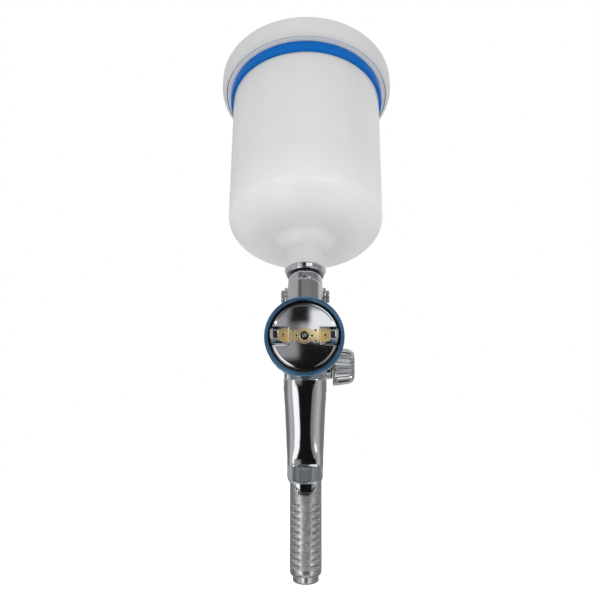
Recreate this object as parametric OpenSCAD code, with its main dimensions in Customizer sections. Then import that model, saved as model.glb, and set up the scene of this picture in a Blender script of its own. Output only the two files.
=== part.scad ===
// Gravity-feed air spray gun with a plastic paint cup.
// +Z is up, the barrel lies along Y with the air cap towards -Y, and the origin is the
// centre of the air inlet's mouth. A value ending in _y is a place on the barrel,
// measured back from the front of the air cap ring. A value ending in _s is a place on
// the cup's axis and one ending in _t a place on the handle's axis, both measured
// from the barrel axis.

/* [Air cap] */
// Outer diameter of the air cap ring
ring_d = 39; // [38.6:0.2:41]
// Length of the air cap ring
ring_l = 13; // [12.8:0.1:13.4]
// How far the horns stand out in front of the ring
horn_rise = 6; // [4:0.5:7]
// Height of each horn
horn_h = 8.4; // [7:0.2:10]
// Bore of the fluid nozzle
nozzle_bore = 1.3; // [1:0.1:1.6]

/* [Body] */
// Width of the barrel between the trigger arms
barrel_w = 19.2; // [18.4:0.2:20]
// Diameter of the paint stem
stem_d = 18.7; // [18.3:0.1:20]
// Length of the paint stem
stem_l = 41; // [40:0.5:46]
// Lean of the stem and cup, back from square to the barrel
cup_lean = 17; // [14:1:19]

/* [Handle] */
// Width of the handle
handle_w = 19; // [18:0.5:21]
// Lean of the handle, its foot to the rear
handle_lean = 7; // [6:0.5:9]
// Length of the handle from the barrel axis to its foot
handle_l = 126.6; // [124:0.2:138]
// Number of grip grooves on each side of the handle's front
groove_count = 10; // [6:1:10]
// Distance from one grip groove to the next
groove_pitch = 3.9; // [3:0.1:4]

/* [Air inlet] */
// Outer diameter of the inlet fitting
inlet_d = 15.5; // [15:0.1:17]
// Length of the inlet fitting below the handle
inlet_l = 4.6; // [4:0.1:10]
// Bore of the inlet's female thread, a G1/4 thread's minor diameter
inlet_bore = 11.45; // [11:0.05:11.9]

/* [Trigger] */
// Full pull of the trigger in degrees
trigger_pull = 11; // [8:0.5:11]
// Thickness of the trigger's arms
arm_t = 1.5; // [1.2:0.1:2]
// Width of the trigger near its tip
trigger_tip_w = 19.4; // [18:0.2:21]

/* [Cup] */
// Outer diameter of the cup above its domed bottom
cup_d_low = 88.7; // [80:0.5:92]
// Outer diameter of the cup at its mouth
cup_d_top = 92.2; // [90:0.2:96]
// Length of the cup's straight wall
cup_wall_l = 86.5; // [60:0.5:110]
// Thickness of the cup's wall
cup_wall = 2; // [1.5:0.1:2.5]
// How far the lid stands out past the cup's mouth
lid_overhang = 7.8; // [7:0.2:10]
// Height of the lid
lid_h = 15.1; // [14:0.1:20]
// Height of the blue sealing band
band_h = 7.2; // [6:0.2:12]

/* [Knobs] */
// Diameter of the fan knob at its base
fan_knob_d = 22; // [18:0.5:24]
// Length of the fan knob
fan_knob_l = 12.2; // [11:0.2:16]
// Diameter of the fluid knob at the rear
fluid_knob_d = 21; // [19:0.5:24]

/* [Fits] */
// Radial clearance of parts that slide or screw into one another
fit_gap = 0.05; // [0.03:0.01:0.08]
// Clearance between moving parts that must not rub
free_gap = 0.3; // [0.25:0.05:0.35]

/* [Hidden] */
$fn = 64;
cut = 1;

// Rear end of the barrel, and the place on it where the handle's axis starts
rear_y = 105;
handle_inset = 15;
handle_y = rear_y - handle_inset;

// Trigger pivot, arms and lever
pivot_y = 46;
pivot_drop = 12.3;
pivot_z = stem_l - pivot_drop;
pivot_r = 2.5;
eye_r = 5;
screw_r = 2;
screw_tip_x = 7.4;
arm_in = barrel_w / 2 + free_gap;
arm_out = arm_in + arm_t;
web_top_z = -17;
web_tip_z = -72;
web_t = 2.2;
tip_h = 4;
lip_h = 10.5;
arm_front_y = 43.6;
arm_back_y = 50.8;
arm_foot_y = 49;
arm_foot_h = 6;

// Air valve, below and parallel to the barrel, in the handle's upper end
valve_z = -22;
valve_inset = 28.5;
gland_l = 8.5;
valve_seat_t = 2.6;
valve_face_y = handle_y - valve_inset;
valve_gland_y = valve_face_y + gland_l;
valve_seat_y = valve_gland_y + 5;
poppet_y = valve_seat_y + 4.3;
poppet_end_y = poppet_y + 2.7;
valve_tail_y = poppet_end_y + 6;
valve_rod_r = 2.4;
poppet_r = 5;
valve_room_r = 6.6;
valve_seat_bore_r = 3.6;
valve_spare = 4.3;
plug_thread_l = 5.8;
plug_flange_t = 2.6;
valve_travel = (pivot_z - valve_z) * sin(trigger_pull);
valve_plug_y = valve_tail_y + valve_travel + valve_spare;
valve_rear_y = valve_plug_y + plug_thread_l;

// Head, nozzle and air cap
ring_r = ring_d / 2;
lip_r = ring_r - 2;
cap_r = lip_r - 1.15;
flange_r = ring_r - 1.6;
head_r = ring_r - 1.9;
recess_r = ring_r - 3.9;
land_r = 8.6;
head_tail_y = 25;
head_tail_r = 12.6;
cap_seat_y = 8.4;
recess_y = 12.4;
head_flange_y = ring_l + 0.6;
nozzle_thread_r = 5;
nozzle_neck_r = 4.4;
nozzle_hex_y = 5.8;
nozzle_cone_y = 1.2;
nozzle_in_r = 3;
chamber_y = 22.6;
chamber_r = 3.8;

// Needle, its packing, spring and stop
needle_r = 1.9;
needle_rear_r = 2.2;
packing_y = 36.6;
packing_r = 4.6;
nut_y = 40.4;
window_y = 44;
yoke_y = 48;
yoke_t = 2.4;
yoke_top_z = 4.2;
yoke_low_z = -4.6;
collar_y = yoke_y + yoke_t + free_gap;
collar_end_y = 54;
needle_collar_r = 4.2;
needle_travel = (pivot_z + needle_collar_r) * sin(trigger_pull);
window_spare = 1.2;
window_end_y = collar_end_y + needle_travel + window_spare;
window_top_z = 6.2;
window_low_z = -5.6;
spring_room_y = 73;
spring_room_r = 6.5;
spring_seat_y = 74;
spring_seat_t = 2;
spring_seat_r = 5.2;
needle_coil_r = 4.3;
sleeve_thread_r = 7.4;
sleeve_tube_r = 7;
sleeve_bore_r = 5.4;
sleeve_hex_t = 3;
sleeve_hex_r = 9.2;
rear_boss_y = rear_y - 13;
sleeve_thread_y = rear_y - 7;
needle_tail_y = rear_y + 7;
knob_stop_y = needle_tail_y + needle_travel + 2.2;
knob_y = rear_y + sleeve_hex_t + 0.9;
knob_end_y = knob_stop_y + 10.5;
knob_round = 4;

// Air passage from the valve to the head
air_z = -9.8;
air_r = 2.2;
air_riser_y = valve_gland_y + 2;

// Fan valve, on the right-hand side
fan_y = 67;
fan_z = -7.7;
fan_thread_r = 5;
fan_neck_r = 7.3;
fan_thread_x = 3;
fan_face_x = 11.4;
fan_neck_x = fan_face_x + 3.9;
fan_knob_x = fan_neck_x + free_gap;
fan_end_x = fan_knob_x + fan_knob_l;
fan_spindle_x = fan_end_x - 4.2;
spindle_r = 2.2;
knob_screw_r = 1.2;
knob_screw_head_r = 2.7;

// Cup axis, which starts on the barrel at stem_y
stem_y = 32;
collar_r = 10.3;
collar_h = 2.9;
collar_s = stem_l + 0.6;
neck_s = collar_s + collar_h;
spigot_r = 6.95;
spigot_l = 9;
sleeve_r = 8;
paint_r = 4.6;
neck_r = 11.5;
neck_fillet = 9.5;
neck_l = 19.6;
dome_s = neck_s + neck_l;
dome_h = 15.4;
dome_r = neck_r + neck_fillet;
wall_s = dome_s + dome_h;
band_s = wall_s + cup_wall_l;
lid_s = band_s + band_h;
lid_top_s = lid_s + lid_h;
lid_t = 2.8;
gasket_t = 0.75;
rim_s = lid_top_s - lid_t - gasket_t - fit_gap;
lid_wall = 3.4;
lid_edge_h = 4.4;
lid_r = cup_d_top / 2 + lid_overhang;
thread_r = lid_r - lid_wall;
mouth_r = cup_d_top / 2 - cup_wall;
vent_r = 3;

// Handle and air inlet
foot_t = handle_l;
foot_round = 5;
inlet_t = foot_t + 0.8;
mouth_t = inlet_t + inlet_l;
inlet_thread_r = 6.8;
inlet_thread_l = 12;
inlet_step_l = 6;
air_bore_r = 4;
groove_t = foot_t - 5.8;

// The air inlet's mouth is the origin, so the barrel sits here
barrel_at = [0, -handle_y - mouth_t * sin(handle_lean), mouth_t * cos(handle_lean)];

// Barrel outline from the side: place, half width, top and bottom
barrel_keys = [
    [18, 11, 11.5, -11.5],
    [26, 10, 13.5, -13],
    [34, barrel_w / 2, 15, -13.8],
    [50, barrel_w / 2, 18, -14],
    [60, barrel_w / 2, 15.4, -14.2],
    [74, barrel_w / 2 + 0.7, 13.4, -15],
    [rear_boss_y, barrel_w / 2 + 0.6, 12.2, -15],
    [rear_y - 0.5, barrel_w / 2 - 0.2, 10.2, -12]
];

// Handle outline from the side: place, half width, front and back
handle_keys = [
    [0, 9.4, 23, 13],
    [12, 9.8, 28.6, 14],
    [23, 9.9, 29, 14.4],
    [31, 9.8, 24.6, 14.1],
    [40, handle_w / 2 + 0.1, 18.4, 13.8],
    [52, handle_w / 2, 14, 14],
    [66, handle_w / 2, 12.6, 14.6],
    [84, handle_w / 2, 13, 14.2],
    [108, handle_w / 2, 12.8, 13],
    [foot_t - foot_round, handle_w / 2, 12.4, 12.4],
    [foot_t - 3.4, handle_w / 2 - 0.4, 11.6, 11.6],
    [foot_t, handle_w / 2 - 1.4, 9, 9]
];

// Trigger lever: height, half width, rear edge and depth from rear edge to front. The tip
// curls forward into a lip.
trigger_keys = [
    [web_tip_z, trigger_tip_w / 2 - 2.4, 51.2, 2.6],
    [web_tip_z + 1.4, trigger_tip_w / 2 - 0.9, 53.1, 3.2],
    [web_tip_z + tip_h, trigger_tip_w / 2, 55.6, 4.2],
    [web_tip_z + 7, trigger_tip_w / 2, 57.5, 5],
    [web_tip_z + lip_h, trigger_tip_w / 2 + 0.1, 58.7, 5.7],
    [-57, trigger_tip_w / 2 + 0.2, 58.6, 6.3],
    [-45, trigger_tip_w / 2 + 0.7, 54.6, 7.4],
    [-31, arm_out - 0.4, 50.6, 8.1],
    [-26, arm_out, 49.9, 8.2],
    [-21, arm_out, 49.3, 7.9],
    [web_top_z, arm_out, arm_foot_y, 7.2]
];

// The valve rod starts just behind the lever, where the lever lies furthest back
valve_top_z = valve_z + valve_rod_r;
valve_tip_y = curve(trigger_keys, valve_top_z, 2) - curve(trigger_keys, valve_top_z, 3)
    + web_t + free_gap;

// Smooth curve through a table of keys, read at x from column k
function key_at(keys, x, i = 0) =
    i >= len(keys) - 2 || x <= keys[i + 1][0] ? i : key_at(keys, x, i + 1);
function key_slope(keys, i, k) =
    let (a = max(i - 1, 0), b = min(i + 1, len(keys) - 1))
    (keys[b][k] - keys[a][k]) / (keys[b][0] - keys[a][0]);
function curve(keys, x, k) =
    let (
        i = key_at(keys, x),
        d = keys[i + 1][0] - keys[i][0],
        u = (x - keys[i][0]) / d,
        v = 1 - u
    )
    (1 + 2 * u) * v * v * keys[i][k] + u * v * v * d * key_slope(keys, i, k)
    + u * u * (3 - 2 * u) * keys[i + 1][k] - u * u * v * d * key_slope(keys, i + 1, k);

// Rounded-rectangle oval whose front and back reach different distances
function power(v, n) = sign(v) * pow(abs(v), 2 / n);
function oval(w, front, back, n = 2.6, count = 28) = [
    for (i = [0:count - 1])
        let (a = 360 * (i + 0.5) / count, s = power(sin(a), n))
        [w * power(cos(a), n), s < 0 ? front * s : back * s]
];

// Solid through closed sections that are stacked one after another
module loft(rings) {
    n = len(rings[0]);
    m = len(rings);
    sides = [
        for (i = [0:m - 2], j = [0:n - 1])
            let (a = i * n + j, b = i * n + (j + 1) % n)
            each [[a, a + n, b + n], [a, b + n, b]]
    ];
    first_end = [for (j = [0:n - 1]) j];
    last_end = [for (j = [n - 1:-1:0]) (m - 1) * n + j];
    polyhedron([for (r = rings) each r], concat([first_end], sides, [last_end]));
}

// The same for an open channel, whose sections run out along one face and back on the other
module channel(rings) {
    n = len(rings[0]);
    m = len(rings);
    top = (m - 1) * n;
    sides = [
        for (i = [0:m - 2], j = [0:n - 1])
            let (a = i * n + j, b = i * n + (j + 1) % n)
            each [[a, a + n, b + n], [a, b + n, b]]
    ];
    ends = [
        for (j = [0:n / 2 - 2])
            let (p = j + 1, q = n - 2 - j, r = n - 1 - j)
            each [[j, p, q], [j, q, r], [top + q, top + p, top + j], [top + r, top + q, top + j]]
    ];
    polyhedron([for (r = rings) each r], concat(sides, ends));
}

// One unbroken wire along Z from z0 to z1
module coil(r, wire_r, z0, z1, turns) {
    sides = 6;
    steps = turns * 8;
    pitch = (z1 - z0 - 2 * wire_r) / turns;
    echo(least_gap_between_turns = pitch - 2 * wire_r);
    loft([
        for (i = [0:steps])
            let (a = 45 * i, z = z0 + wire_r + pitch * i / 8)
            [
                for (j = [0:sides - 1])
                    let (b = 360 * j / sides, d = r - wire_r * cos(b))
                    [d * cos(a), d * sin(a), z + wire_r * sin(b)]
            ]
    ]);
}

// Frames that the pieces are drawn in: each puts local Z along an axis of the gun
module on_barrel(z = 0) {
    translate(barrel_at + [0, 0, z]) rotate([-90, 0, 0]) children();
}
module on_cup() {
    translate(barrel_at + [0, stem_y, 0]) rotate([-cup_lean, 0, 0]) children();
}
module on_handle() {
    translate(barrel_at + [0, handle_y, 0]) rotate([handle_lean, 0, 0]) children();
}
module across(y, z) {
    translate(barrel_at + [0, y, z]) rotate([0, 90, 0]) children();
}

// Turned piece, and a plain rod or bore between two places
module turned(points) {
    rotate_extrude() polygon(points);
}
module rod(r, from, to) {
    translate([0, 0, from]) cylinder(r = r, h = to - from);
}
module tube(outer, inner, from, to) {
    turned([[inner, from], [outer, from], [outer, to], [inner, to]]);
}
module hex(r, from, to) {
    translate([0, 0, from]) cylinder(r = r, h = to - from, $fn = 6);
}

// Grip flutes round a knob, cut by rods that follow its taper
module flutes(count, r, rod_r, from, to, taper = 0) {
    for (i = [0:count - 1])
        rotate([0, 0, 360 * (i + 0.5) / count])
            translate([r, 0, from])
                rotate([0, -taper, 0])
                    translate([0, 0, -cut]) cylinder(r = rod_r, h = to - from + 2 * cut);
}

// Chromed forging: head, barrel, paint stem and handle in one
module body_outside() {
    on_barrel() turned([
        [0, cap_seat_y], [head_r, cap_seat_y], [head_r, head_flange_y],
        [ring_r - 0.8, head_flange_y], [ring_r - 0.8, head_flange_y + 2.6],
        [ring_r - 4.2, head_flange_y + 5.6], [head_tail_r, head_tail_y],
        [head_tail_r - 1, stem_y], [0, stem_y]
    ]);
    barrel_start_y = barrel_keys[0][0];
    barrel_steps = 16;
    translate(barrel_at) loft([
        for (i = [0:barrel_steps])
            let (y = barrel_start_y + (rear_y - 0.5 - barrel_start_y) * i / barrel_steps)
            [for (p = oval(curve(barrel_keys, y, 1), -curve(barrel_keys, y, 3),
                curve(barrel_keys, y, 2))) [-p[0], y, p[1]]]
    ]);
    handle_steps = 32;
    on_handle() loft([
        for (i = [0:handle_steps])
            let (t = foot_t * (1 - pow(i / handle_steps, 1.2)))
            [for (p = oval(curve(handle_keys, t, 1), curve(handle_keys, t, 2),
                curve(handle_keys, t, 3))) [p[0], p[1], -t]]
    ]);
    on_cup() turned([
        [0, 0], [stem_d / 2, 0], [stem_d / 2, stem_l - 6], [stem_d / 2 - 0.4, stem_l - 5.7],
        [stem_d / 2 - 0.4, stem_l - 5.3], [stem_d / 2, stem_l - 5], [stem_d / 2, stem_l - 2],
        [stem_d / 2 - 0.4, stem_l - 0.8], [stem_d / 2 - 1.2, stem_l], [0, stem_l]
    ]);
    across(pivot_y, pivot_z) rod(eye_r + 0.2, -barrel_w / 2, barrel_w / 2);
    across(fan_y, fan_z) rod(fan_neck_r + 0.7, 0, fan_face_x);
    on_barrel() rod(barrel_w / 2 - 0.3, rear_boss_y, rear_y);
    on_barrel(valve_z) rod(valve_room_r + 1, valve_face_y, poppet_y);
    on_barrel(valve_z) rod(valve_room_r + 1.8, rear_boss_y, valve_rear_y);
}

// Grooves round the front half of the handle, with a smooth strip left down its middle
module grip_grooves() {
    groove = 1.1;
    depth = 0.7;
    front = 12.6;
    strip = 3.4;
    for (i = [0:groove_count - 1])
        translate([0, 0, i * groove_pitch - groove_t]) difference() {
            for (side = [0, 1]) mirror([side, 0, 0])
                translate([strip, -2 * handle_w, -groove / 2])
                    cube([handle_w, 2 * handle_w, groove]);
            translate([0, 0, -groove]) linear_extrude(2 * groove)
                polygon(oval(handle_w / 2 - depth, front - depth, front));
        }
}

module gun_body() {
    color("gainsboro") difference() {
        union() body_outside();
        on_barrel() {
            tube(recess_r, land_r, cap_seat_y - cut, recess_y);
            rod(nozzle_thread_r + fit_gap, cap_seat_y - cut, chamber_y);
            rod(chamber_r, chamber_y - cut, packing_y + cut);
            rod(packing_r + fit_gap, packing_y, window_y + cut);
            rod(needle_rear_r + fit_gap, window_end_y - cut, spring_room_y + cut);
            rod(spring_room_r, spring_room_y, sleeve_thread_y);
            rod(sleeve_thread_r + fit_gap, sleeve_thread_y - cut, rear_y + cut);
        }
        translate(barrel_at + [-ring_r, window_y, window_low_z])
            cube([ring_d, window_end_y - window_y, window_top_z - window_low_z]);
        on_cup() {
            rod(paint_r, 0, stem_l + cut);
            rod(spigot_r + fit_gap, stem_l - spigot_l - cut, stem_l + cut);
        }
        across(pivot_y, pivot_z) for (side = [0, 180])
            rotate([side, 0, 0]) rod(screw_r + fit_gap, screw_tip_x - 0.2, barrel_w);
        on_barrel(valve_z) {
            rod(nozzle_thread_r + fit_gap, valve_face_y - cut, valve_gland_y);
            rod(valve_seat_bore_r + 0.6, valve_gland_y - cut, valve_seat_y + cut);
            rod(valve_room_r, valve_seat_y, valve_rear_y + cut);
        }
        on_barrel(air_z) rod(air_r, recess_y - cut, air_riser_y);
        translate(barrel_at + [0, air_riser_y, valve_z]) rod(air_r - 0.1, 0, air_z - valve_z);
        across(fan_y, fan_z) {
            rod(fan_thread_r + fit_gap, fan_thread_x, fan_face_x + cut);
            rod(spindle_r + 0.8, -fan_thread_x, fan_thread_x + cut);
        }
        on_handle() {
            rod(air_bore_r, -foot_t - cut, valve_z);
            rod(inlet_thread_r + fit_gap, -foot_t - cut, inlet_thread_l - foot_t);
            grip_grooves();
        }
    }
}

// Thin sealing washer between stem and cup collar
module stem_seal() {
    color("dimgray") on_cup() tube(stem_d / 2 - 1.2, spigot_r + 0.2, stem_l, collar_s);
}

// The two shoulder screws that the trigger swings on
module pivot_screws() {
    head_x = arm_out + 0.1;
    head_r = eye_r - 1.5;
    color("silver") across(pivot_y, pivot_z) for (side = [0, 180])
        rotate([side, 0, 0]) difference() {
            turned([
                [0, screw_tip_x], [screw_r, screw_tip_x], [screw_r, barrel_w / 2],
                [pivot_r, barrel_w / 2], [pivot_r, head_x], [head_r, head_x],
                [head_r, head_x + 1.4], [head_r - 0.5, head_x + 1.8], [0, head_x + 1.8]
            ]);
            translate([-head_r - cut, -0.4, head_x + 1]) cube([2 * head_r + 2 * cut, 0.8, 2]);
        }
}

// Ring that spreads the air round the nozzle
module air_baffle() {
    holes = 12;
    color("dimgray") on_barrel() difference() {
        tube(recess_r - 0.2, land_r + 0.3, recess_y - 1.8, recess_y);
        for (i = [0:holes - 1])
            rotate([0, 0, 360 * i / holes]) translate([(recess_r + land_r) / 2, 0, 0])
                rod(0.9, recess_y - 3, recess_y + cut);
    }
}

// Fluid nozzle: threaded shank, hexagon and fine tip
module fluid_nozzle() {
    r = nozzle_bore / 2;
    color("goldenrod") on_barrel() difference() {
        union() {
            turned([
                [0, -0.6], [r + 0.5, -0.6], [r + 0.55, 2.2],
                [nozzle_neck_r, nozzle_hex_y], [nozzle_neck_r, cap_seat_y],
                [nozzle_thread_r, cap_seat_y],
                [nozzle_thread_r, chamber_y], [0, chamber_y]
            ]);
            hex(7.2, nozzle_hex_y, cap_seat_y);
        }
        turned([
            [0, -cut], [r, -cut], [r, nozzle_cone_y], [nozzle_in_r, 8],
            [nozzle_in_r, chamber_y + cut], [0, chamber_y + cut]
        ]);
    }
}

// Air cap: domed face, two horns with side jets and the fine holes round the nozzle
module air_cap() {
    horn_x = cap_r - 2.6;
    horn_front_h = horn_h - 4.6;
    centre_r = 1.95;
    jet_r = 0.75;
    jet_turn = 122;
    fine_x = 5.4;
    fine_l = 5;
    color("silver") on_barrel() difference() {
        union() {
            turned([
                [centre_r, 0.3], [centre_r + 0.45, 0], [9, 0.7], [cap_r - 1.8, 1.6], [cap_r, 2.6],
                [cap_r, 5.5], [flange_r, 5.5], [flange_r, cap_seat_y - 0.2],
                [cap_r - 2.1, cap_seat_y - 0.2], [cap_r - 2.1, 6], [10, 4.4], [6.5, 3.2],
                [centre_r, 2.5]
            ]);
            intersection() {
                rod(cap_r - fit_gap, -horn_rise, 4.2);
                translate([-ring_r, 0, 0]) rotate([90, 0, 90]) linear_extrude(ring_d) polygon([
                    [-horn_h / 2, 4.2], [-horn_h / 2, 1.2 - horn_rise / 2],
                    [-horn_front_h / 2, -horn_rise], [horn_front_h / 2, -horn_rise],
                    [horn_h / 2, 1.2 - horn_rise / 2], [horn_h / 2, 4.2]
                ]);
                for (side = [0, 180]) rotate([0, 0, side]) translate([0, horn_h / 2, 0])
                    rotate([90, 0, 0]) linear_extrude(horn_h) polygon([
                        [7.6, 3.4], [7.6, 0.9], [horn_x - 1.9, 0.6 - horn_rise],
                        [horn_x - 1.5, -horn_rise], [horn_x + 1.7, -horn_rise],
                        [cap_r, 1.3 - horn_rise], [cap_r, 4.2], [10, 4.2]
                    ]);
            }
        }
        for (side = [0, 180]) rotate([0, 0, side]) {
            translate([horn_x - 0.2, 0, 0]) rod(1.3, 2 - horn_rise, cap_seat_y + cut);
            translate([horn_x - 0.2, 0, -0.4]) rotate([0, -jet_turn, 0]) rod(jet_r, 0, 9);
            translate([3.7, 0, 0]) rod(0.45, -cut, fine_l);
            for (rise = [-2.6, 2.6]) translate([fine_x, rise, 0]) rod(0.4, -cut, fine_l);
        }
    }
}

// Plastic ring that keeps the cap inside its clamping ring
module cap_retainer() {
    inner = cap_r + free_gap;
    outer = lip_r - 0.1;
    front_y = 0.9;
    tongue_y = 2.7;
    tongue_t = 1.5;
    back_y = 5.3;
    color("black") on_barrel() turned([
        [inner, front_y], [outer, front_y], [outer, tongue_y], [outer + 0.7, tongue_y],
        [outer + 0.7, tongue_y + tongue_t], [outer, tongue_y + tongue_t], [outer, back_y],
        [inner, back_y]
    ]);
}

// Anodised clamping ring with a grip band at its rear
module air_cap_ring() {
    thread = head_r + free_gap + 0.05;
    color("royalblue") on_barrel() difference() {
        turned([
            [lip_r, 0.3], [lip_r + 0.3, 0], [ring_r - 0.9, 0], [ring_r, 1], [ring_r, 6],
            [ring_r - 0.5, 6.4], [ring_r - 0.5, 7.2], [ring_r, 7.6], [ring_r, ring_l - 0.5],
            [ring_r - 0.5, ring_l], [thread, ring_l], [thread, cap_seat_y + 0.2],
            [lip_r + 0.75, cap_seat_y + 0.2], [lip_r + 0.75, 2.6], [lip_r, 2.6]
        ]);
        flutes(30, ring_r + 0.9, 1.2, 8.2 + cut, ring_l);
    }
}

// Soft packing round the needle and the nut that squeezes it
module needle_packing() {
    color("white") on_barrel() tube(packing_r, needle_r + fit_gap, packing_y, nut_y);
}
module packing_nut() {
    color("goldenrod") on_barrel() difference() {
        union() {
            rod(packing_r, nut_y, window_y + 0.5);
            hex(5.4, window_y, window_y + 2.8);
        }
        rod(needle_r + fit_gap, nut_y - cut, window_y + 4);
    }
}

// Needle with its fine point, spring seat and tail
module fluid_needle() {
    r = nozzle_bore / 2;
    color("silver") on_barrel() turned([
        [0, -0.3], [r - 0.2, -0.3], [r - 0.08, nozzle_cone_y], [needle_r, 5.1],
        [needle_r, collar_end_y], [needle_rear_r, collar_end_y], [needle_rear_r, spring_seat_y],
        [spring_seat_r, spring_seat_y], [spring_seat_r, spring_seat_y + spring_seat_t],
        [needle_rear_r, spring_seat_y + spring_seat_t], [needle_rear_r, needle_tail_y - 0.6],
        [needle_rear_r - 0.6, needle_tail_y], [0, needle_tail_y]
    ]);
}

// Collar on the needle, which the trigger's yoke pulls back
module needle_collar() {
    inner = needle_r + fit_gap;
    outer = needle_collar_r;
    color("goldenrod") on_barrel() turned([
        [inner, collar_y], [outer - 0.5, collar_y], [outer, collar_y + 0.5],
        [outer, collar_end_y - 0.5], [outer - 0.5, collar_end_y], [inner, collar_end_y]
    ]);
}

module needle_spring() {
    color("darkgray") on_barrel()
        coil(needle_coil_r, 0.5, spring_seat_y + spring_seat_t, knob_stop_y - 0.1, 12);
}

// Threaded sleeve at the rear of the barrel
module rear_guide() {
    color("silver") on_barrel() difference() {
        union() {
            rod(sleeve_thread_r, sleeve_thread_y, rear_y);
            hex(sleeve_hex_r, rear_y, rear_y + sleeve_hex_t);
            rod(sleeve_tube_r, rear_y + sleeve_hex_t, knob_stop_y - 3.4);
        }
        rod(sleeve_bore_r, sleeve_thread_y - cut, knob_stop_y);
    }
}

// Fluid knob that screws on the sleeve and stops the needle's tail
module fluid_knob() {
    r = fluid_knob_d / 2;
    bore = sleeve_tube_r + free_gap;
    color("silver") on_barrel() difference() {
        turned([
            [bore, knob_y], [r - 1, knob_y], [r, knob_y + 1], [r, knob_end_y - knob_round],
            [r - 1.2, knob_end_y - 1.4], [r - knob_round, knob_end_y], [0, knob_end_y],
            [0, knob_stop_y], [bore, knob_stop_y]
        ]);
        flutes(16, r + 0.7, 1.6, knob_y + 3.5, knob_end_y);
    }
}

// Stirrup trigger: channel-shaped lever below, one arm on each side of the barrel above
module trigger() {
    steps = 15;
    bulge = 2.3;
    color("gainsboro") translate(barrel_at) difference() {
        union() {
            channel([
                for (i = [0:steps])
                    let (
                        z = web_tip_z + (web_top_z - web_tip_z) * pow(i / steps, 1.25),
                        w = curve(trigger_keys, z, 1),
                        rear = curve(trigger_keys, z, 2),
                        depth = curve(trigger_keys, z, 3),
                        t = min(web_t, depth * 0.6)
                    )
                    concat(
                        [for (a = [180:12:360])
                            [w * power(cos(a), bulge), rear + depth * power(sin(a), bulge), z]],
                        [for (a = [360:-12:180]) [
                            (w - t) * power(cos(a), bulge),
                            rear + (depth - t) * power(sin(a), bulge), z
                        ]]
                    )
            ]);
            for (side = [0, 1]) mirror([side, 0, 0]) {
                translate([arm_in, 0, 0]) rotate([90, 0, 90]) linear_extrude(arm_t) polygon([
                    [pivot_y - 3.4, pivot_z + 1], [arm_front_y - 0.4, 18], [arm_front_y, -2],
                    [arm_front_y + 1.6, web_top_z], [arm_foot_y - 2, web_top_z - arm_foot_h],
                    [arm_foot_y, web_top_z - arm_foot_h], [arm_foot_y + 0.2, web_top_z],
                    [arm_back_y, -2], [arm_back_y, 18], [pivot_y + 3.6, pivot_z + 1]
                ]);
                translate([0, pivot_y, pivot_z]) rotate([0, 90, 0]) rod(eye_r, arm_in, arm_out);
            }
        }
        translate([0, pivot_y, pivot_z]) rotate([0, 90, 0])
            rod(pivot_r + fit_gap, -arm_out - cut, arm_out + cut);
    }
}

// Fork across the trigger that straddles the needle in the barrel's window
module trigger_yoke() {
    notch_r = needle_r + 0.7;
    notch_l = yoke_t + 2 * cut;
    color("silver") translate(barrel_at + [0, yoke_y, 0]) difference() {
        translate([-arm_in, 0, yoke_low_z]) cube([2 * arm_in, yoke_t, yoke_top_z - yoke_low_z]);
        translate([-notch_r, -cut, yoke_low_z - cut]) cube([2 * notch_r, notch_l, cut - yoke_low_z]);
        translate([0, -cut, 0]) rotate([-90, 0, 0]) cylinder(r = notch_r, h = notch_l);
    }
}

// Guide and seal that the valve rod runs through
module valve_gland() {
    color("goldenrod") on_barrel(valve_z) difference() {
        union() {
            hex(6.3, valve_face_y - 2.6, valve_face_y);
            rod(nozzle_thread_r, valve_face_y - 0.5, valve_gland_y);
        }
        rod(valve_rod_r + fit_gap, valve_face_y - 4, valve_gland_y + cut);
    }
}

module valve_seat() {
    color("goldenrod") on_barrel(valve_z)
        tube(valve_room_r - fit_gap, valve_seat_bore_r, valve_seat_y, valve_seat_y + valve_seat_t);
}

// Rod and poppet that the trigger pushes back
module air_valve_stem() {
    color("silver") on_barrel(valve_z) turned([
        [0, valve_tip_y], [1.2, valve_tip_y + 0.2], [2, valve_tip_y + 0.8],
        [valve_rod_r, valve_tip_y + 2], [valve_rod_r, poppet_y], [poppet_r, poppet_y],
        [poppet_r, poppet_end_y], [2, poppet_end_y],
        [2, valve_tail_y - 0.4], [1.6, valve_tail_y], [0, valve_tail_y]
    ]);
}

module poppet_seal() {
    color("black") on_barrel(valve_z)
        tube(poppet_r - 0.1, valve_rod_r + fit_gap, valve_seat_y + valve_seat_t + 0.1, poppet_y);
}

module valve_spring() {
    color("darkgray") on_barrel(valve_z) coil(4, 0.45, poppet_end_y, valve_plug_y, 6);
}

// Rear plug of the valve room, with a key slot
module valve_plug() {
    r = valve_room_r - fit_gap;
    flange = valve_room_r + 1.4;
    color("silver") on_barrel(valve_z) difference() {
        turned([
            [0, valve_plug_y], [r, valve_plug_y], [r, valve_rear_y], [flange, valve_rear_y],
            [flange, valve_rear_y + plug_flange_t - 0.8],
            [flange - 0.8, valve_rear_y + plug_flange_t], [0, valve_rear_y + plug_flange_t]
        ]);
        translate([-flange - cut, -0.7, valve_rear_y + plug_flange_t - 1.4])
            cube([2 * flange + 2 * cut, 1.4, 3]);
    }
}

// Fan valve: threaded bush, spindle, fluted knob and the screw that holds it
module fan_bush() {
    color("silver") across(fan_y, fan_z) difference() {
        union() {
            rod(fan_thread_r, fan_thread_x, fan_face_x + 0.5);
            turned([
                [0, fan_face_x], [fan_neck_r, fan_face_x], [fan_neck_r, fan_neck_x - 0.8],
                [fan_neck_r - 0.7, fan_neck_x], [0, fan_neck_x]
            ]);
        }
        rod(spindle_r + fit_gap, fan_thread_x - cut, fan_neck_x + cut);
    }
}

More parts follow.
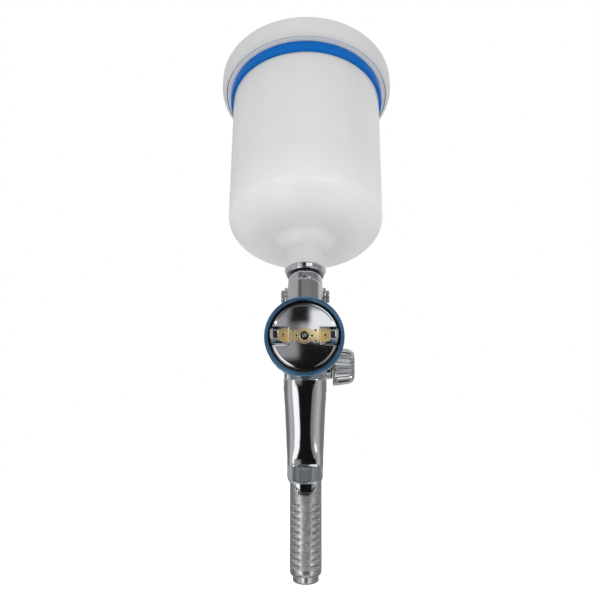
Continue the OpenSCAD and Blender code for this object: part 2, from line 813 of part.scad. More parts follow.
module fan_spindle() {
    color("silver") across(fan_y, fan_z) difference() {
        turned([
            [0, -2], [0.6, -2], [spindle_r, 1.5], [spindle_r, fan_spindle_x], [0, fan_spindle_x]
        ]);
        rod(knob_screw_r + fit_gap, fan_spindle_x - 5, fan_spindle_x + cut);
    }
}

module fan_knob() {
    r = fan_knob_d / 2;
    color("gainsboro") across(fan_y, fan_z) difference() {
        turned([
            [0, fan_knob_x], [r - 0.5, fan_knob_x], [r, fan_knob_x + 0.6], [r - 0.3, fan_knob_x + 3.4],
            [r - 1.2, fan_end_x - 2.8], [r - 2.2, fan_end_x - 1], [r - 3.8, fan_end_x], [0, fan_end_x]
        ]);
        rod(spindle_r + fit_gap, fan_knob_x - cut, fan_spindle_x + 0.1);
        rod(knob_screw_r + 0.2, fan_spindle_x - cut, fan_end_x);
        rod(knob_screw_head_r + 0.3, fan_end_x - 2, fan_end_x + cut);
        flutes(20, r + 0.35, 1.15, fan_knob_x + 2.6 + cut, fan_end_x, 5);
    }
}

module fan_knob_screw() {
    r = knob_screw_head_r;
    color("silver") across(fan_y, fan_z) difference() {
        turned([
            [0, fan_spindle_x - 4.4], [knob_screw_r, fan_spindle_x - 4.4],
            [knob_screw_r, fan_end_x - 2], [r, fan_end_x - 2], [r, fan_end_x - 0.8],
            [r - 0.5, fan_end_x - 0.3], [0, fan_end_x - 0.3]
        ]);
        translate([-r - cut, -0.35, fan_end_x - 0.9]) cube([2 * r + 2 * cut, 0.7, 2]);
    }
}

// Air inlet at the foot of the handle
module inlet_seal() {
    color("dimgray") on_handle()
        tube(inlet_d / 2 - 0.3, inlet_thread_r + 0.1, -inlet_t, -foot_t);
}

module air_inlet() {
    r = inlet_d / 2;
    shank_end = inlet_thread_l - 1 - foot_t;
    color("silver") on_handle() difference() {
        turned([
            [0, -mouth_t], [r - 0.8, -mouth_t], [r, 0.8 - mouth_t], [r, -inlet_t],
            [inlet_thread_r, -inlet_t], [inlet_thread_r, shank_end], [0, shank_end]
        ]);
        rod(inlet_bore / 2, -mouth_t - cut, shank_end - inlet_step_l);
        rod(air_bore_r, -foot_t, shank_end + cut);
    }
}

// Plated collar of the cup, with the spigot that screws into the stem
module cup_connector() {
    color("silver") on_cup() difference() {
        turned([
            [0, stem_l - spigot_l], [spigot_r - 0.6, stem_l - spigot_l],
            [spigot_r, stem_l - spigot_l + 0.6], [spigot_r, collar_s], [collar_r - 0.4, collar_s],
            [collar_r, collar_s + 0.4], [collar_r + 0.6, neck_s], [sleeve_r, neck_s],
            [sleeve_r, dome_s - 1], [0, dome_s - 1]
        ]);
        rod(paint_r, 0, dome_s);
    }
}

// Paint cup: neck, domed bottom, slightly tapered wall and threaded mouth
module cup() {
    low_r = cup_d_low / 2;
    top_r = cup_d_top / 2;
    bore = sleeve_r + fit_gap;
    steps = 12;
    arc = [for (i = [0:steps]) 90 * i / steps];
    color("whitesmoke") on_cup() turned(concat(
        [[bore, neck_s], [neck_r - 0.3, neck_s], [neck_r, neck_s + 0.4]],
        [for (a = arc) [dome_r - neck_fillet * cos(a), dome_s - neck_fillet * (1 - sin(a))]],
        [for (i = [1:steps]) [
            dome_r + (low_r - dome_r) * sin(arc[i]), wall_s - dome_h * cos(arc[i])
        ]],
        [[top_r, band_s], [top_r, lid_s + 0.3], [thread_r, lid_s + 2], [thread_r, rim_s - 0.6],
            [thread_r - 0.6, rim_s], [mouth_r + 0.5, rim_s], [mouth_r, rim_s - 0.5], [mouth_r, band_s]],
        [for (i = [steps:-1:0]) [
            dome_r + (low_r - cup_wall - dome_r) * sin(arc[i]),
            wall_s + cup_wall - dome_h * cos(arc[i])
        ]],
        [[bore, dome_s - 0.4]]
    ));
}

// Slotted paint strainer that stands in the cup's outlet
module strainer() {
    basket_r = 6.2;
    basket_l = 30;
    slot_rows = 4;
    slot_w = 2;
    slot_l = 5;
    slot_pitch = slot_l + 1.5;
    color("white") on_cup() difference() {
        union() {
            rod(paint_r - fit_gap, dome_s - 11, dome_s);
            rod(basket_r + 1.2, dome_s - 1, dome_s + 1);
            rod(basket_r, dome_s, dome_s + basket_l);
        }
        rod(paint_r - 1, dome_s - 12, dome_s + 2);
        rod(basket_r - 1, dome_s + 1, dome_s + basket_l - 1);
        for (i = [0:3], k = [0:slot_rows - 1])
            translate([0, 0, dome_s + 3 + slot_pitch * k]) rotate([0, 0, 45 * i])
                translate([-2 * basket_r, -slot_w / 2, 0]) cube([4 * basket_r, slot_w, slot_l]);
    }
}

// Blue sealing band round the cup's shoulder, under the lid
module lid_band() {
    inner = cup_d_top / 2 + fit_gap;
    outer = cup_d_top / 2 + 2;
    color("dodgerblue") on_cup() turned([
        [inner, band_s], [outer - 0.9, band_s], [outer, band_s + 1.2], [outer, lid_s - 0.5],
        [outer - 0.4, lid_s - 0.1], [inner, lid_s - 0.1]
    ]);
}

// Soft ring between the cup's rim and the lid
module lid_gasket() {
    color("white") on_cup()
        tube(thread_r - 0.4, mouth_r + 0.6, rim_s + fit_gap, rim_s + fit_gap + gasket_t);
}

// Screw lid with a vent hole in its middle
module cup_lid() {
    inner = thread_r + free_gap;
    color("white") on_cup() turned([
        [inner, lid_s + 0.2], [lid_r - 2.6, lid_s + 0.2], [lid_r - 0.9, lid_s + 1.8],
        [lid_r, lid_s + lid_edge_h],
        [lid_r, lid_top_s - 3], [lid_r - 0.9, lid_top_s - 0.9], [lid_r - 3, lid_top_s],
        [vent_r, lid_top_s],
        [vent_r, lid_top_s - lid_t], [inner, lid_top_s - lid_t]
    ]);
}

// Push-in vent plug that lets air in and stops drips
module vent_plug() {
    low_s = lid_top_s - lid_t;
    color("white") on_cup() difference() {
        turned([
            [0, low_s - 2], [vent_r - 0.4, low_s - 2], [vent_r - fit_gap, low_s - 1],
            [vent_r - fit_gap, lid_top_s], [2 * vent_r, lid_top_s], [2 * vent_r, lid_top_s + 2],
            [2 * vent_r - 1, lid_top_s + 3], [0, lid_top_s + 3]
        ]);
        rod(0.7, low_s - 3, lid_top_s + 4);
    }
}

gun_body();
stem_seal();
pivot_screws();
air_baffle();
fluid_nozzle();
air_cap();
cap_retainer();
air_cap_ring();
needle_packing();
packing_nut();
fluid_needle();
needle_collar();
needle_spring();
rear_guide();
fluid_knob();
trigger();
trigger_yoke();
valve_gland();
valve_seat();
air_valve_stem();
poppet_seal();
valve_spring();
valve_plug();
fan_bush();
fan_spindle();
fan_knob();
fan_knob_screw();
inlet_seal();
air_inlet();
cup_connector();
cup();
strainer();
lid_band();
lid_gasket();
cup_lid();
vent_plug();
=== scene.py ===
import math

import bmesh
import bpy
import numpy as np
from mathutils import Matrix, Quaternion, Vector


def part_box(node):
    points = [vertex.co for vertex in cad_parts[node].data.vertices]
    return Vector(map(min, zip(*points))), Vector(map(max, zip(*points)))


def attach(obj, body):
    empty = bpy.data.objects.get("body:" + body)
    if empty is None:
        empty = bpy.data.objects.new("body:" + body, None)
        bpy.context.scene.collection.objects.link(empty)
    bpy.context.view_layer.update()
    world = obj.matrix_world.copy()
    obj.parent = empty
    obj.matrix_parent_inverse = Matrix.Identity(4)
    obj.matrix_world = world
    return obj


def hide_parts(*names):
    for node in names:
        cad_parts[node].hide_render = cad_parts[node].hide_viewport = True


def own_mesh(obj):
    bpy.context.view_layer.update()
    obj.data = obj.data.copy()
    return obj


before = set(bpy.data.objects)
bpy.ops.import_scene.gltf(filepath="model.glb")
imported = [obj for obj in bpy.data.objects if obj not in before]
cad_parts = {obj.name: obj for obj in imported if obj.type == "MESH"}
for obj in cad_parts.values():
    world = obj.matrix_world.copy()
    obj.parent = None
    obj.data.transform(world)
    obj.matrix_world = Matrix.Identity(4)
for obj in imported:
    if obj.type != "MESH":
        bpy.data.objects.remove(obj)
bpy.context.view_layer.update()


# Gun body: one aluminium forging with the head, the barrel, the paint stem and the handle,
# polished and chromed all over, with a blasted satin grip. Its forms run into one another
# in soft fillets, so it is one blended shape, in millimetres from the front of the cap ring.
ring_low, ring_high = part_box("air_cap_ring")
gun_origin = Vector((0, ring_low.y, (ring_low.z + ring_high.z) / 2))
gun = Matrix.Translation(gun_origin) @ Matrix.Scale(0.001, 4)

head_start, head_end = 8.4, 38
barrel_start, barrel_end = 18, 104.5
handle_y, handle_lean, handle_top, foot = 90, math.radians(7), -4, 126.6
stem_y, stem_lean, stem_r, stem_l = 32, math.radians(17), 9.35, 41
pivot_y, pivot_z = 46, 28.7
fan_y, fan_z = 67, -7.7
valve_z = -22
# The opening through the barrel that the trigger's yoke moves in: its middle and half sizes.
window_y, window_z, window_half_l, window_half_h = 52.74, 0.3, 8.74, 5.9
# The body's half width between the trigger's arms, and where the arms swing.
arm_gap, arms_y, arms_half, arms_low = 9.6, 50, 9.5, -18
groove_pitch, groove_depth, last_groove = 3.9, 0.7, foot - 5.8
grooves_from, grooves_to, smooth_half, grooves_half = foot - 43, foot - 4.2, 3.2, 9.5
# The blasted grip starts this far down the handle, and lower by the dip in front.
grip_top, grip_dip = 59.8, 19.8
# How far the polished front is ground back, and the run of the ledge there.
ground_depth, ledge_run = 1.05, 1.1

# Place along the piece, then its radius there.
head_keys = [
    (8, 17.6), (13.2, 17.6), (14, 18.6), (16, 18.6), (18, 16.6), (20.5, 14.4), (25, 12.4),
    (32, 11.4), (40, 10)]
# Place along the piece, then its half width and its reach up and down.
barrel_keys = [
    (18, 11, 11.5, 11.5), (26, 10, 13.5, 13), (34, 9.6, 15, 13.8), (50, 9.6, 18, 14),
    (60, 9.6, 15.4, 14.2), (74, 10.3, 13.4, 15), (92, 10.2, 12.2, 15), (104.5, 9.4, 10.2, 12)]
# Place down the piece, then its half width and its reach to the front and the rear.
handle_keys = [
    (0, 9.4, 23, 13), (12, 9.8, 28.6, 14), (23, 9.9, 29, 14.4), (31, 9.8, 24.6, 14.1),
    (40, 9.6, 18.4, 13.8), (52, 9.5, 14, 14), (66, 9.5, 12.6, 14.6), (84, 9.5, 13, 14.2),
    (108, 9.5, 12.8, 13), (foot - 5, 9.5, 12.4, 12.4), (foot - 0.7, 9.4, 12.2, 12.2),
    (foot, 9, 11.6, 11.6)]


def part(value):
    """A value held between nothing and one."""
    return np.clip(value, 0, 1)


def along(keys, place, column):
    """The smooth curve through a column of the keys, read at each place."""
    x, y = np.array(keys, float)[:, (0, column)].T
    slope = np.gradient(y) / np.gradient(x)
    i = np.clip(np.searchsorted(x, place) - 1, 0, len(x) - 2)
    d = x[i + 1] - x[i]
    u = part((place - x[i]) / d)
    v = 1 - u
    return ((1 + 2 * u) * v * v * y[i] + u * v * v * d * slope[i]
            + u * u * (3 - 2 * u) * y[i + 1] - u * u * v * d * slope[i + 1])


def joined(a, b, fillet):
    """Distance to two shapes run together with a fillet."""
    h = part(0.5 + 0.5 * (b - a) / fillet)
    return b + (a - b) * h - fillet * h * (1 - h)


def within(a, b, edge):
    """Distance to what two shapes share, its edge broken."""
    return -joined(-a, -b, edge)


def cut(a, b, edge):
    """Distance to shape a with shape b cut out of it, its edge broken."""
    return within(a, -b, edge)


def oval(across, up, half, low, top, power=2.6):
    """Distance to a rounded-rectangle section whose two ends reach different distances."""
    reach = np.where(up < 0, low, top)
    size = ((np.abs(across) / half) ** power + (np.abs(up) / reach) ** power) ** (1 / power)
    return (size - 1) * np.minimum(half, reach)


def bar(line, radius, start, end, edge=0.5):
    """Distance to a round bar between two places on a line, given as two offsets and a place."""
    a, b, place = line
    return within(np.hypot(a, b) - radius, np.maximum(start - place, place - end), edge)


def scored(off, width):
    """How deep in a fine turned line each place is, from its distance off the line."""
    return np.exp(-(off / width) ** 2)


def grip_frame(y, z):
    """Place down the handle's axis, and distance behind it."""
    lean_s, lean_c = math.sin(handle_lean), math.cos(handle_lean)
    return (y - handle_y) * lean_s - z * lean_c, (y - handle_y) * lean_c + z * lean_s


def grip_start(x, back):
    """Place down the handle where its grip starts, higher at the sides than in front."""
    in_front = grip_top + grip_dip - np.minimum(0.0032 * x ** 4, grip_dip)
    return np.where(back < 0, in_front, grip_top)


def grip_grooves(t):
    """Ten grooves down the grip: how deep in one each place is, and whether they run there."""
    wave = 0.5 + 0.5 * np.cos(2 * math.pi * (t - last_groove) / groove_pitch)
    return wave, part((t - grooves_from) / 1.5) * part((grooves_to - t) / 1.2)


def gun_body_shape(x, y, z):
    """Distance to the forging."""
    t, back = grip_frame(y, z)
    s = (y - stem_y) * math.sin(stem_lean) + z * math.cos(stem_lean)
    behind = (y - stem_y) * math.cos(stem_lean) - z * math.sin(stem_lean)
    side = np.abs(x)
    barrel_line, valve_line, stem_line = (x, z, y), (x, z - valve_z, y), (x, behind, s)
    pivot_line, fan_line = (y - pivot_y, z - pivot_z, side), (y - fan_y, z - fan_z, x)

    head = np.hypot(x, z) - along(head_keys, y, 1)
    head = np.maximum(head, np.maximum(head_start - y, y - head_end))
    half, top, low = (along(barrel_keys, y, c) for c in (1, 2, 3))
    barrel = oval(x, z, half, low, top)
    barrel = within(barrel, np.maximum(barrel_start - y, y - barrel_end), 1)
    handle = oval(x, back, *(along(handle_keys, t, c) for c in (1, 2, 3)))
    # The grooves lie on each side of a smooth strip down the front and fade out at the sides.
    wave, grooved = grip_grooves(t)
    beside = part((side - smooth_half) / 0.9) * part((grooves_half - side) / 2.2)
    grooved = grooved * beside * part(0.6 - back / 5)
    handle = handle + groove_depth * wave ** 5 * grooved
    # The polished front is ground back and a little flatter where it meets the blasted grip.
    ahead = grip_start(x, back) - t
    ledge = part(ahead / ledge_run)
    ground = np.clip(ground_depth - 0.0192 * x ** 2, 0.15, ground_depth)
    ground = ground * part(2 - ahead / 10) * (back < 0)
    handle = handle + ground * ledge ** 2 * (3 - 2 * ledge)
    handle = np.maximum(handle, np.maximum(t - foot, handle_top - t))
    # A fine turned line runs round the stem, below its rounded top.
    stem = bar(stem_line, stem_r, 0, stem_l, 2.2) + 0.35 * scored(s - stem_l + 5.5, 0.32)

    body = head
    for form, fillet in (
            (barrel, 5), (stem, 5), (handle, 7),
            (bar(pivot_line, 5.2, -9.6, 9.6), 3.5),  # boss of the trigger's pivot
            (bar(barrel_line, 9.3, 92, 105), 2),     # boss of the rear sleeve
            (bar(valve_line, 7.6, 61.5, 79.3), 2),   # boss of the valve's gland
            (bar(valve_line, 8.4, 92, 107.9), 2.5),  # boss of the valve's plug
            (bar(fan_line, 8, 0, 11.4), 2)):         # boss of the fan valve
        body = joined(body, form, fillet)
    # Room for the trigger's two arms as they swing, opening out in front, behind and below.
    arm_room = arm_gap + 0.6 * np.clip(np.abs(y - arms_y) - arms_half, 0, 40)
    arm_room = arm_room + np.clip(arms_low - z, 0, 40)
    body = within(body, side - arm_room, 0.5)
    window = np.maximum(np.abs(y - window_y) - window_half_l, np.abs(z - window_z) - window_half_h)
    body = cut(body, window, 0.8)
    for bore in (
            bar(barrel_line, 5.6, 0, 23), bar(barrel_line, 4.9, 22, 48),     # nozzle, packing
            bar(barrel_line, 2.8, 55, 80), bar(barrel_line, 6.8, 73, 99),    # needle, spring
            bar(barrel_line, 7.7, 97, 110),                                  # rear sleeve
            bar(valve_line, 5.4, 58, 74), bar(valve_line, 6.9, 74, 112),     # gland, valve room
            bar(fan_line, 5.4, 3, 20), bar(fan_line, 3, -3.5, 5),            # bush, spindle
            bar(stem_line, 7.3, 31, 52),                                     # cup's collar
            bar((x, back, t), 7.1, foot - 13, foot + 5),                     # air inlet
            bar(pivot_line, 2.3, 7, 12)):                                    # pivot screws
        body = cut(body, bore, 0.4)
    return body


def placed(name, data):
    """A new object in the scene."""
    piece = bpy.data.objects.new(name, data)
    bpy.context.scene.collection.objects.link(piece)
    return piece


def cast(name, material, shape, low, high, cell):
    """Mesh of a blended shape: one point in each cell that its surface crosses, drawn onto it."""
    grid = [np.arange(a, b + cell, cell) for a, b in zip(low, high)]
    slabs = np.array_split(grid[0], 8)
    value = np.concatenate([shape(*np.meshgrid(slab, *grid[1:], indexing="ij")) for slab in slabs])
    solid = value < 0
    size = np.array(value.shape) - 1
    total, count = np.zeros((*size, 3), np.float32), np.zeros(size, np.float32)
    for axis in range(3):
        others = [k for k in range(3) if k != axis]
        for corner in range(4):
            start = [slice(0, n) for n in size]
            offset = np.zeros(3)
            for other, step in zip(others, (corner & 1, corner >> 1)):
                start[other] = slice(step, size[other] + step)
                offset[other] = step
            end = list(start)
            end[axis] = slice(1, size[axis] + 1)
            va, vb = value[tuple(start)], value[tuple(end)]
            crossed = (va < 0) != (vb < 0)
            way = np.where(crossed, va / np.where(crossed, va - vb, 1), 0)
            for k in range(3):
                total[..., k] += crossed * offset[k] + (way if k == axis else 0)
            count += crossed
    filled = count > 0
    index = np.full(size, -1)
    index[filled] = np.arange(filled.sum())
    points = np.argwhere(filled) + total[filled] / count[filled][:, None]
    points = np.array(low) + points * cell
    faces = []
    for axis in range(3):
        b, c = [k for k in range(3) if k != axis]
        change = np.argwhere(np.diff(solid.astype(np.int8), axis=axis) != 0)
        change = change[(change[:, b] > 0) & (change[:, c] > 0)
                        & (change[:, b] < size[b]) & (change[:, c] < size[c])]
        corners = []
        for db, dc in ((-1, -1), (0, -1), (0, 0), (-1, 0)):
            at = change.copy()
            at[:, b] += db
            at[:, c] += dc
            corners.append(index[tuple(at.T)])
        quads = np.stack(corners, 1)
        outward = solid[tuple(change.T)] != (axis == 1)
        quads[~outward] = quads[~outward][:, ::-1]
        faces.append(quads)
    # Five steps, each less than half a cell, bring the points onto the surface.
    h, most = 0.02, 0.4 * cell
    for _ in range(5):
        x, y, z = points.T
        slope = np.stack([shape(x + h, y, z) - shape(x - h, y, z),
                          shape(x, y + h, z) - shape(x, y - h, z),
                          shape(x, y, z + h) - shape(x, y, z - h)], 1) / (2 * h)
        step = shape(x, y, z)[:, None] * slope / np.maximum((slope ** 2).sum(1), 0.05)[:, None]
        points -= np.clip(step, -most, most)
    mesh = bpy.data.meshes.new(name)
    mesh.from_pydata(points.tolist(), [], np.concatenate(faces).tolist())
    mesh.shade_smooth()
    mesh.materials.append(material)
    return placed(name, mesh), points


def marked(piece, name, values):
    """Keeps a value on each point of a piece, for its material to read."""
    piece.data.attributes.new(name, "FLOAT", "POINT").data.foreach_set("value", values)


def fitted(piece, place, node, body):
    """Moves a piece's mesh to its place, where it stands for its CAD node on that node's body."""
    piece.data.transform(place)
    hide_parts(node)
    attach(piece, body)


def linear(colour):
    """A hex sRGB colour as linear values."""
    parts = [int(colour[i:i + 2], 16) / 255 for i in (1, 3, 5)]
    return (*(p / 12.92 if p < 0.04045 else ((p + 0.055) / 1.055) ** 2.4 for p in parts), 1)


def add(tree, kind, inputs=None, **settings):
    """The outputs of a new node with these settings; an input is a value or a node's output."""
    node = tree.nodes.new(kind)
    for key, value in settings.items():
        setattr(node, key, value)
    for socket, value in (inputs or {}).items():
        if isinstance(value, bpy.types.NodeSocket):
            tree.links.new(value, node.inputs[socket])
        else:
            node.inputs[socket].default_value = value
    return node.outputs


def new_material(name):
    """A material with an empty tree."""
    material = bpy.data.materials.new(name)
    material.use_nodes = True
    material.node_tree.nodes.clear()
    return material, material.node_tree


def noise(tree, scale, detail, roughness=0.5, stretch=None):
    """Noise on the piece's own coordinates, its scale counted to the metre."""
    place = add(tree, "ShaderNodeTexCoord")["Object"]
    if stretch:
        place = add(tree, "ShaderNodeMapping", {"Vector": place, "Scale": stretch})[0]
    return add(tree, "ShaderNodeTexNoise", {
        "Vector": place, "Scale": scale, "Detail": detail, "Roughness": roughness})["Fac"]


def kept(tree, name):
    """A value kept on the piece's points."""
    return add(tree, "ShaderNodeAttribute", attribute_name=name)["Fac"]


def ranged(tree, value, low=0, high=1, start=0, end=1, **settings):
    """Goes from low to high while a value goes from start to end."""
    return add(tree, "ShaderNodeMapRange", {
        "Value": value, "From Min": start, "From Max": end, "To Min": low, "To Max": high},
        **settings)[0]


def mixed(tree, share, first, last):
    """Goes from one value to another as a share grows."""
    return add(tree, "ShaderNodeMix", {"Factor": share, "A": first, "B": last})[0]


def toned(tree, share, first, last):
    """Goes from one colour to another, each in hex or from a node, as a share grows."""
    first, last = (linear(c) if isinstance(c, str) else c for c in (first, last))
    return add(tree, "ShaderNodeMix", {"Factor": share, "A": first, "B": last},
               data_type="RGBA")["Result"]


def bumped(tree, height, strength, distance=0.0001):
    """Relief of a height in metres."""
    return add(tree, "ShaderNodeBump", {
        "Height": height, "Strength": strength, "Distance": distance})[0]


def coated(tree, inputs):
    """Ends a material's tree in one surface."""
    surface = add(tree, "ShaderNodeBsdfPrincipled", inputs)
    add(tree, "ShaderNodeOutputMaterial", {"Surface": surface[0]})


# Chrome plate on a polished forging: a clear mirror with a faint blue-grey cast, fine hairline
# marks from wiping and a slight orange peel. The grip is blasted before plating, so it is satin.
chrome, tree = new_material("chrome_plate")
satin = kept(tree, "satin")
# Hairlines 1 mm apart, drawn coarser than the real ones so that they show.
hairlines = noise(tree, scale=900, detail=3)
# Smears about 15 mm across.
smears = noise(tree, scale=60, detail=4)
gloss = ranged(tree, smears, low=0.045, high=0.11, start=0.35, end=0.75)
# Blasted grain, half a millimetre across.
grain = noise(tree, scale=1600, detail=2)
relief = mixed(tree, satin, hairlines, grain)
depth = ranged(tree, satin, low=0.012, high=0.12)
# Blasting leaves paler and darker blotches 2 mm across.
blotch = ranged(tree, noise(tree, scale=520, detail=3, roughness=0.7), start=0.35, end=0.65)
dull = toned(tree, blotch, "#ABADB0", "#DBDDDF")
coated(tree, {
    "Metallic": 1, "Base Color": toned(tree, satin, "#C8CACD", dull),
    "Roughness": mixed(tree, satin, gloss, 0.4),
    "Normal": bumped(tree, relief, depth, 0.0004)})

forging, points = cast("gun_body_forging", chrome, gun_body_shape,
                       (-19.5, 7.5, -132), (19.5, 121, 43), cell=0.6)
side = np.abs(points[:, 0])
t, back = grip_frame(points[:, 1], points[:, 2])
grip = part((t - grip_start(side, back)) / 0.5)
# The hand has polished the ridges beside the smooth strip.
worn_x = 4.1
wave, grooved = grip_grooves(t)
ridges = part(1.8 - 1.2 * np.abs(side - worn_x)) * (back < 0)
grip = grip * (1 - 0.9 * grooved * (1 - wave) ** 3 * ridges)
# Its foot, the last 4 mm, is less deeply blasted.
grip = grip * (1 - 0.5 * part((t - foot + 4) / 0.4))
marked(forging, "satin", grip)
fitted(forging, gun, "gun_body", "gun")


# Trigger: a stirrup pressed and bent from steel, polished and chromed. Below the barrel it is
# a channel with a rounded front and a lip that curls forward at its tip; above, two flat arms
# reach up to the pivot screws.
arm_in, arm_out, arm_foot, arm_top = 9.9, 11.4, -23, 29.7
eye_r, eye_hole_r = 5, 2.6
lever_tip, lever_top, wall_t = -72, -17, 2.2
# Height, half width, rear edge, depth from rear edge to front, and how flat the front is.
lever_keys = [
    (-72, 7.3, 50.6, 3, 2.3), (-70.6, 8.8, 52.1, 3.7, 2.4), (-68, 9.7, 54.8, 4.8, 2.6),
    (-65, 9.7, 57.2, 5.45, 2.8), (-63, 9.75, 58.25, 5.4, 2.85), (-61.5, 9.8, 58.7, 5.6, 2.9),
    (-57, 9.9, 58.6, 6, 2.85), (-51, 10.2, 56.8, 6.9, 2.5), (-45, 10.4, 54.6, 7.15, 2.3),
    (-38, 10.7, 52.5, 7.4, 2.3), (-31, 11, 50.6, 7.5, 2.35), (-26, 11.4, 49.9, 7.9, 2.4),
    (-21, 11.4, 49.3, 8.2, 2.55), (-17, 11.4, 49, 8.45, 2.65)]
# Height, front edge and rear edge.
arm_keys = [
    (-23, 47, 49), (-17, 45.2, 49.2), (-2, 43.6, 50.8), (18, 43.2, 50.8), (29.7, 42.6, 49.6)]


def trigger_shape(x, y, z):
    """Distance to the stirrup."""
    side = np.abs(x)
    half, rear, depth, power = (along(lever_keys, z, c) for c in (1, 2, 3, 4))
    wall = np.minimum(wall_t, 0.6 * depth)
    forward = np.maximum(rear - y, 0)
    outer, inner = (((side / (half - w)) ** power + (forward / (depth - w)) ** power) ** (1 / power)
                    for w in (0, wall))
    lever = cut((outer - 1) * depth, (inner - 1) * (depth - wall), 0.4)
    ends = np.maximum(z - lever_top, lever_tip - z)
    lever = within(lever, np.maximum(y - rear, ends), 0.7)
    plate = np.abs(side - (arm_in + arm_out) / 2) - (arm_out - arm_in) / 2
    arm = np.maximum(along(arm_keys, z, 1) - y, y - along(arm_keys, z, 2))
    arm = np.maximum(arm, np.maximum(z - arm_top, arm_foot - z))
    from_pivot = np.hypot(y - pivot_y, z - pivot_z)
    arm = joined(arm, from_pivot - eye_r, 1.5)
    arm = within(cut(arm, from_pivot - eye_hole_r, 0.1), plate, 0.5)
    return joined(lever, arm, 0.8)


lever, points = cast("trigger_stirrup", chrome, trigger_shape,
                     (-12.2, 39.5, -73), (12.2, 61, 35), cell=0.42)
# Fingers have dulled the lip.
marked(lever, "satin", 0.25 * part((-62 - points[:, 2]) / 2))
fitted(lever, gun, "trigger", "trigger")


# Pivot screws: two slotted shoulder screws, turned from steel and polished, one through each arm.
# One screw is modelled at the origin and set on both sides by a node tree.
steel, tree = new_material("turned_steel")
# Turning marks 0.4 mm apart, drawn coarser than the real ones so that they show.
marks = noise(tree, scale=2500, detail=2)
coated(tree, {
    "Metallic": 1, "Base Color": toned(tree, marks, "#AEB0B3", "#BDBEC0"),
    "Roughness": ranged(tree, marks, low=0.18, high=0.34),
    "Normal": bumped(tree, marks, 0.06)})


def pivot_screw_shape(x, y, z):
    """Distance to a screw on the Z axis: its thread, its shoulder and its slotted head."""
    line = x, y, z
    screw = np.minimum(bar(line, 2, 7.4, 10, 0.2), bar(line, 2.5, 9.6, 11.8, 0.1))
    screw = np.minimum(screw, bar(line, 3.5, 11.5, 13.3, 0.7))
    slot_half, slot_floor = 0.4, 12.5
    return cut(screw, np.maximum(np.abs(y) - slot_half, slot_floor - z), 0.15)


def new_tree(name, sizes):
    """A node tree that takes and gives a geometry, with named inputs and their first values."""
    tree = bpy.data.node_groups.new(name, "GeometryNodeTree")
    tree.interface.new_socket("Geometry", in_out="INPUT", socket_type="NodeSocketGeometry")
    for size, (kind, value) in sizes.items():
        socket = tree.interface.new_socket(size, in_out="INPUT", socket_type="NodeSocket" + kind)
        if value is not None:
            socket.default_value = value
    tree.interface.new_socket("Geometry", in_out="OUTPUT", socket_type="NodeSocketGeometry")
    return tree, add(tree, "NodeGroupInput")


def calc(tree, operation, *terms):
    """A sum on values and other nodes' outputs."""
    return add(tree, "ShaderNodeMath", dict(enumerate(terms)), operation=operation)[0]


def closed_tree(tree, geometry, material):
    """Ends a tree: real geometry, in its material."""
    real = add(tree, "GeometryNodeRealizeInstances", {"Geometry": geometry})[0]
    dressed = add(tree, "GeometryNodeSetMaterial", {"Geometry": real, "Material": material})
    add(tree, "NodeGroupOutput", {"Geometry": dressed[0]})


def grown(piece, tree, sizes):
    """Runs a tree on a piece and leaves the result as a plain mesh."""
    modifier = piece.modifiers.new("tree", "NODES")
    modifier.node_group = tree
    for item in tree.interface.items_tree:
        if item.in_out == "INPUT" and item.name in sizes:
            modifier[item.identifier] = sizes[item.name]
    bpy.context.view_layer.update()
    graph = bpy.context.evaluated_depsgraph_get()
    mesh = bpy.data.meshes.new_from_object(piece.evaluated_get(graph))
    piece.modifiers.remove(modifier)
    piece.data = mesh
    mesh.shade_smooth()


pair, given = new_tree("screw_pair", {"Screw": ("Object", None), "Material": ("Material", None)})
one = add(pair, "GeometryNodeObjectInfo", {"As Instance": True, "Object": given["Screw"]})
ends = add(pair, "GeometryNodeMeshLine", {"Count": 2, "Offset": (0, 0, 0)})[0]
# The first is turned to the left, the second to the right.
index = add(pair, "GeometryNodeInputIndex")[0]
turn = calc(pair, "MULTIPLY_ADD", index, math.pi, -math.pi / 2)
turn = add(pair, "ShaderNodeCombineXYZ", {"Y": turn})[0]
turn = add(pair, "FunctionNodeEulerToRotation", {0: turn})[0]
screws = add(pair, "GeometryNodeInstanceOnPoints", {
    "Points": ends, "Instance": one["Geometry"], "Rotation": turn})[0]
closed_tree(pair, screws, given["Material"])

screw, _ = cast("pivot_screw", steel, pivot_screw_shape, (-4, -4, 7), (4, 4, 14), cell=0.2)
pivot_screws = placed("pivot_screws_steel", bpy.data.meshes.new("pivot_screws_steel"))
grown(pivot_screws, pair, {"Screw": screw, "Material": steel})
bpy.data.objects.remove(screw)
pivot_place = gun @ Matrix.Translation((0, pivot_y, pivot_z))
fitted(pivot_screws, pivot_place, "pivot_screws", "gun")


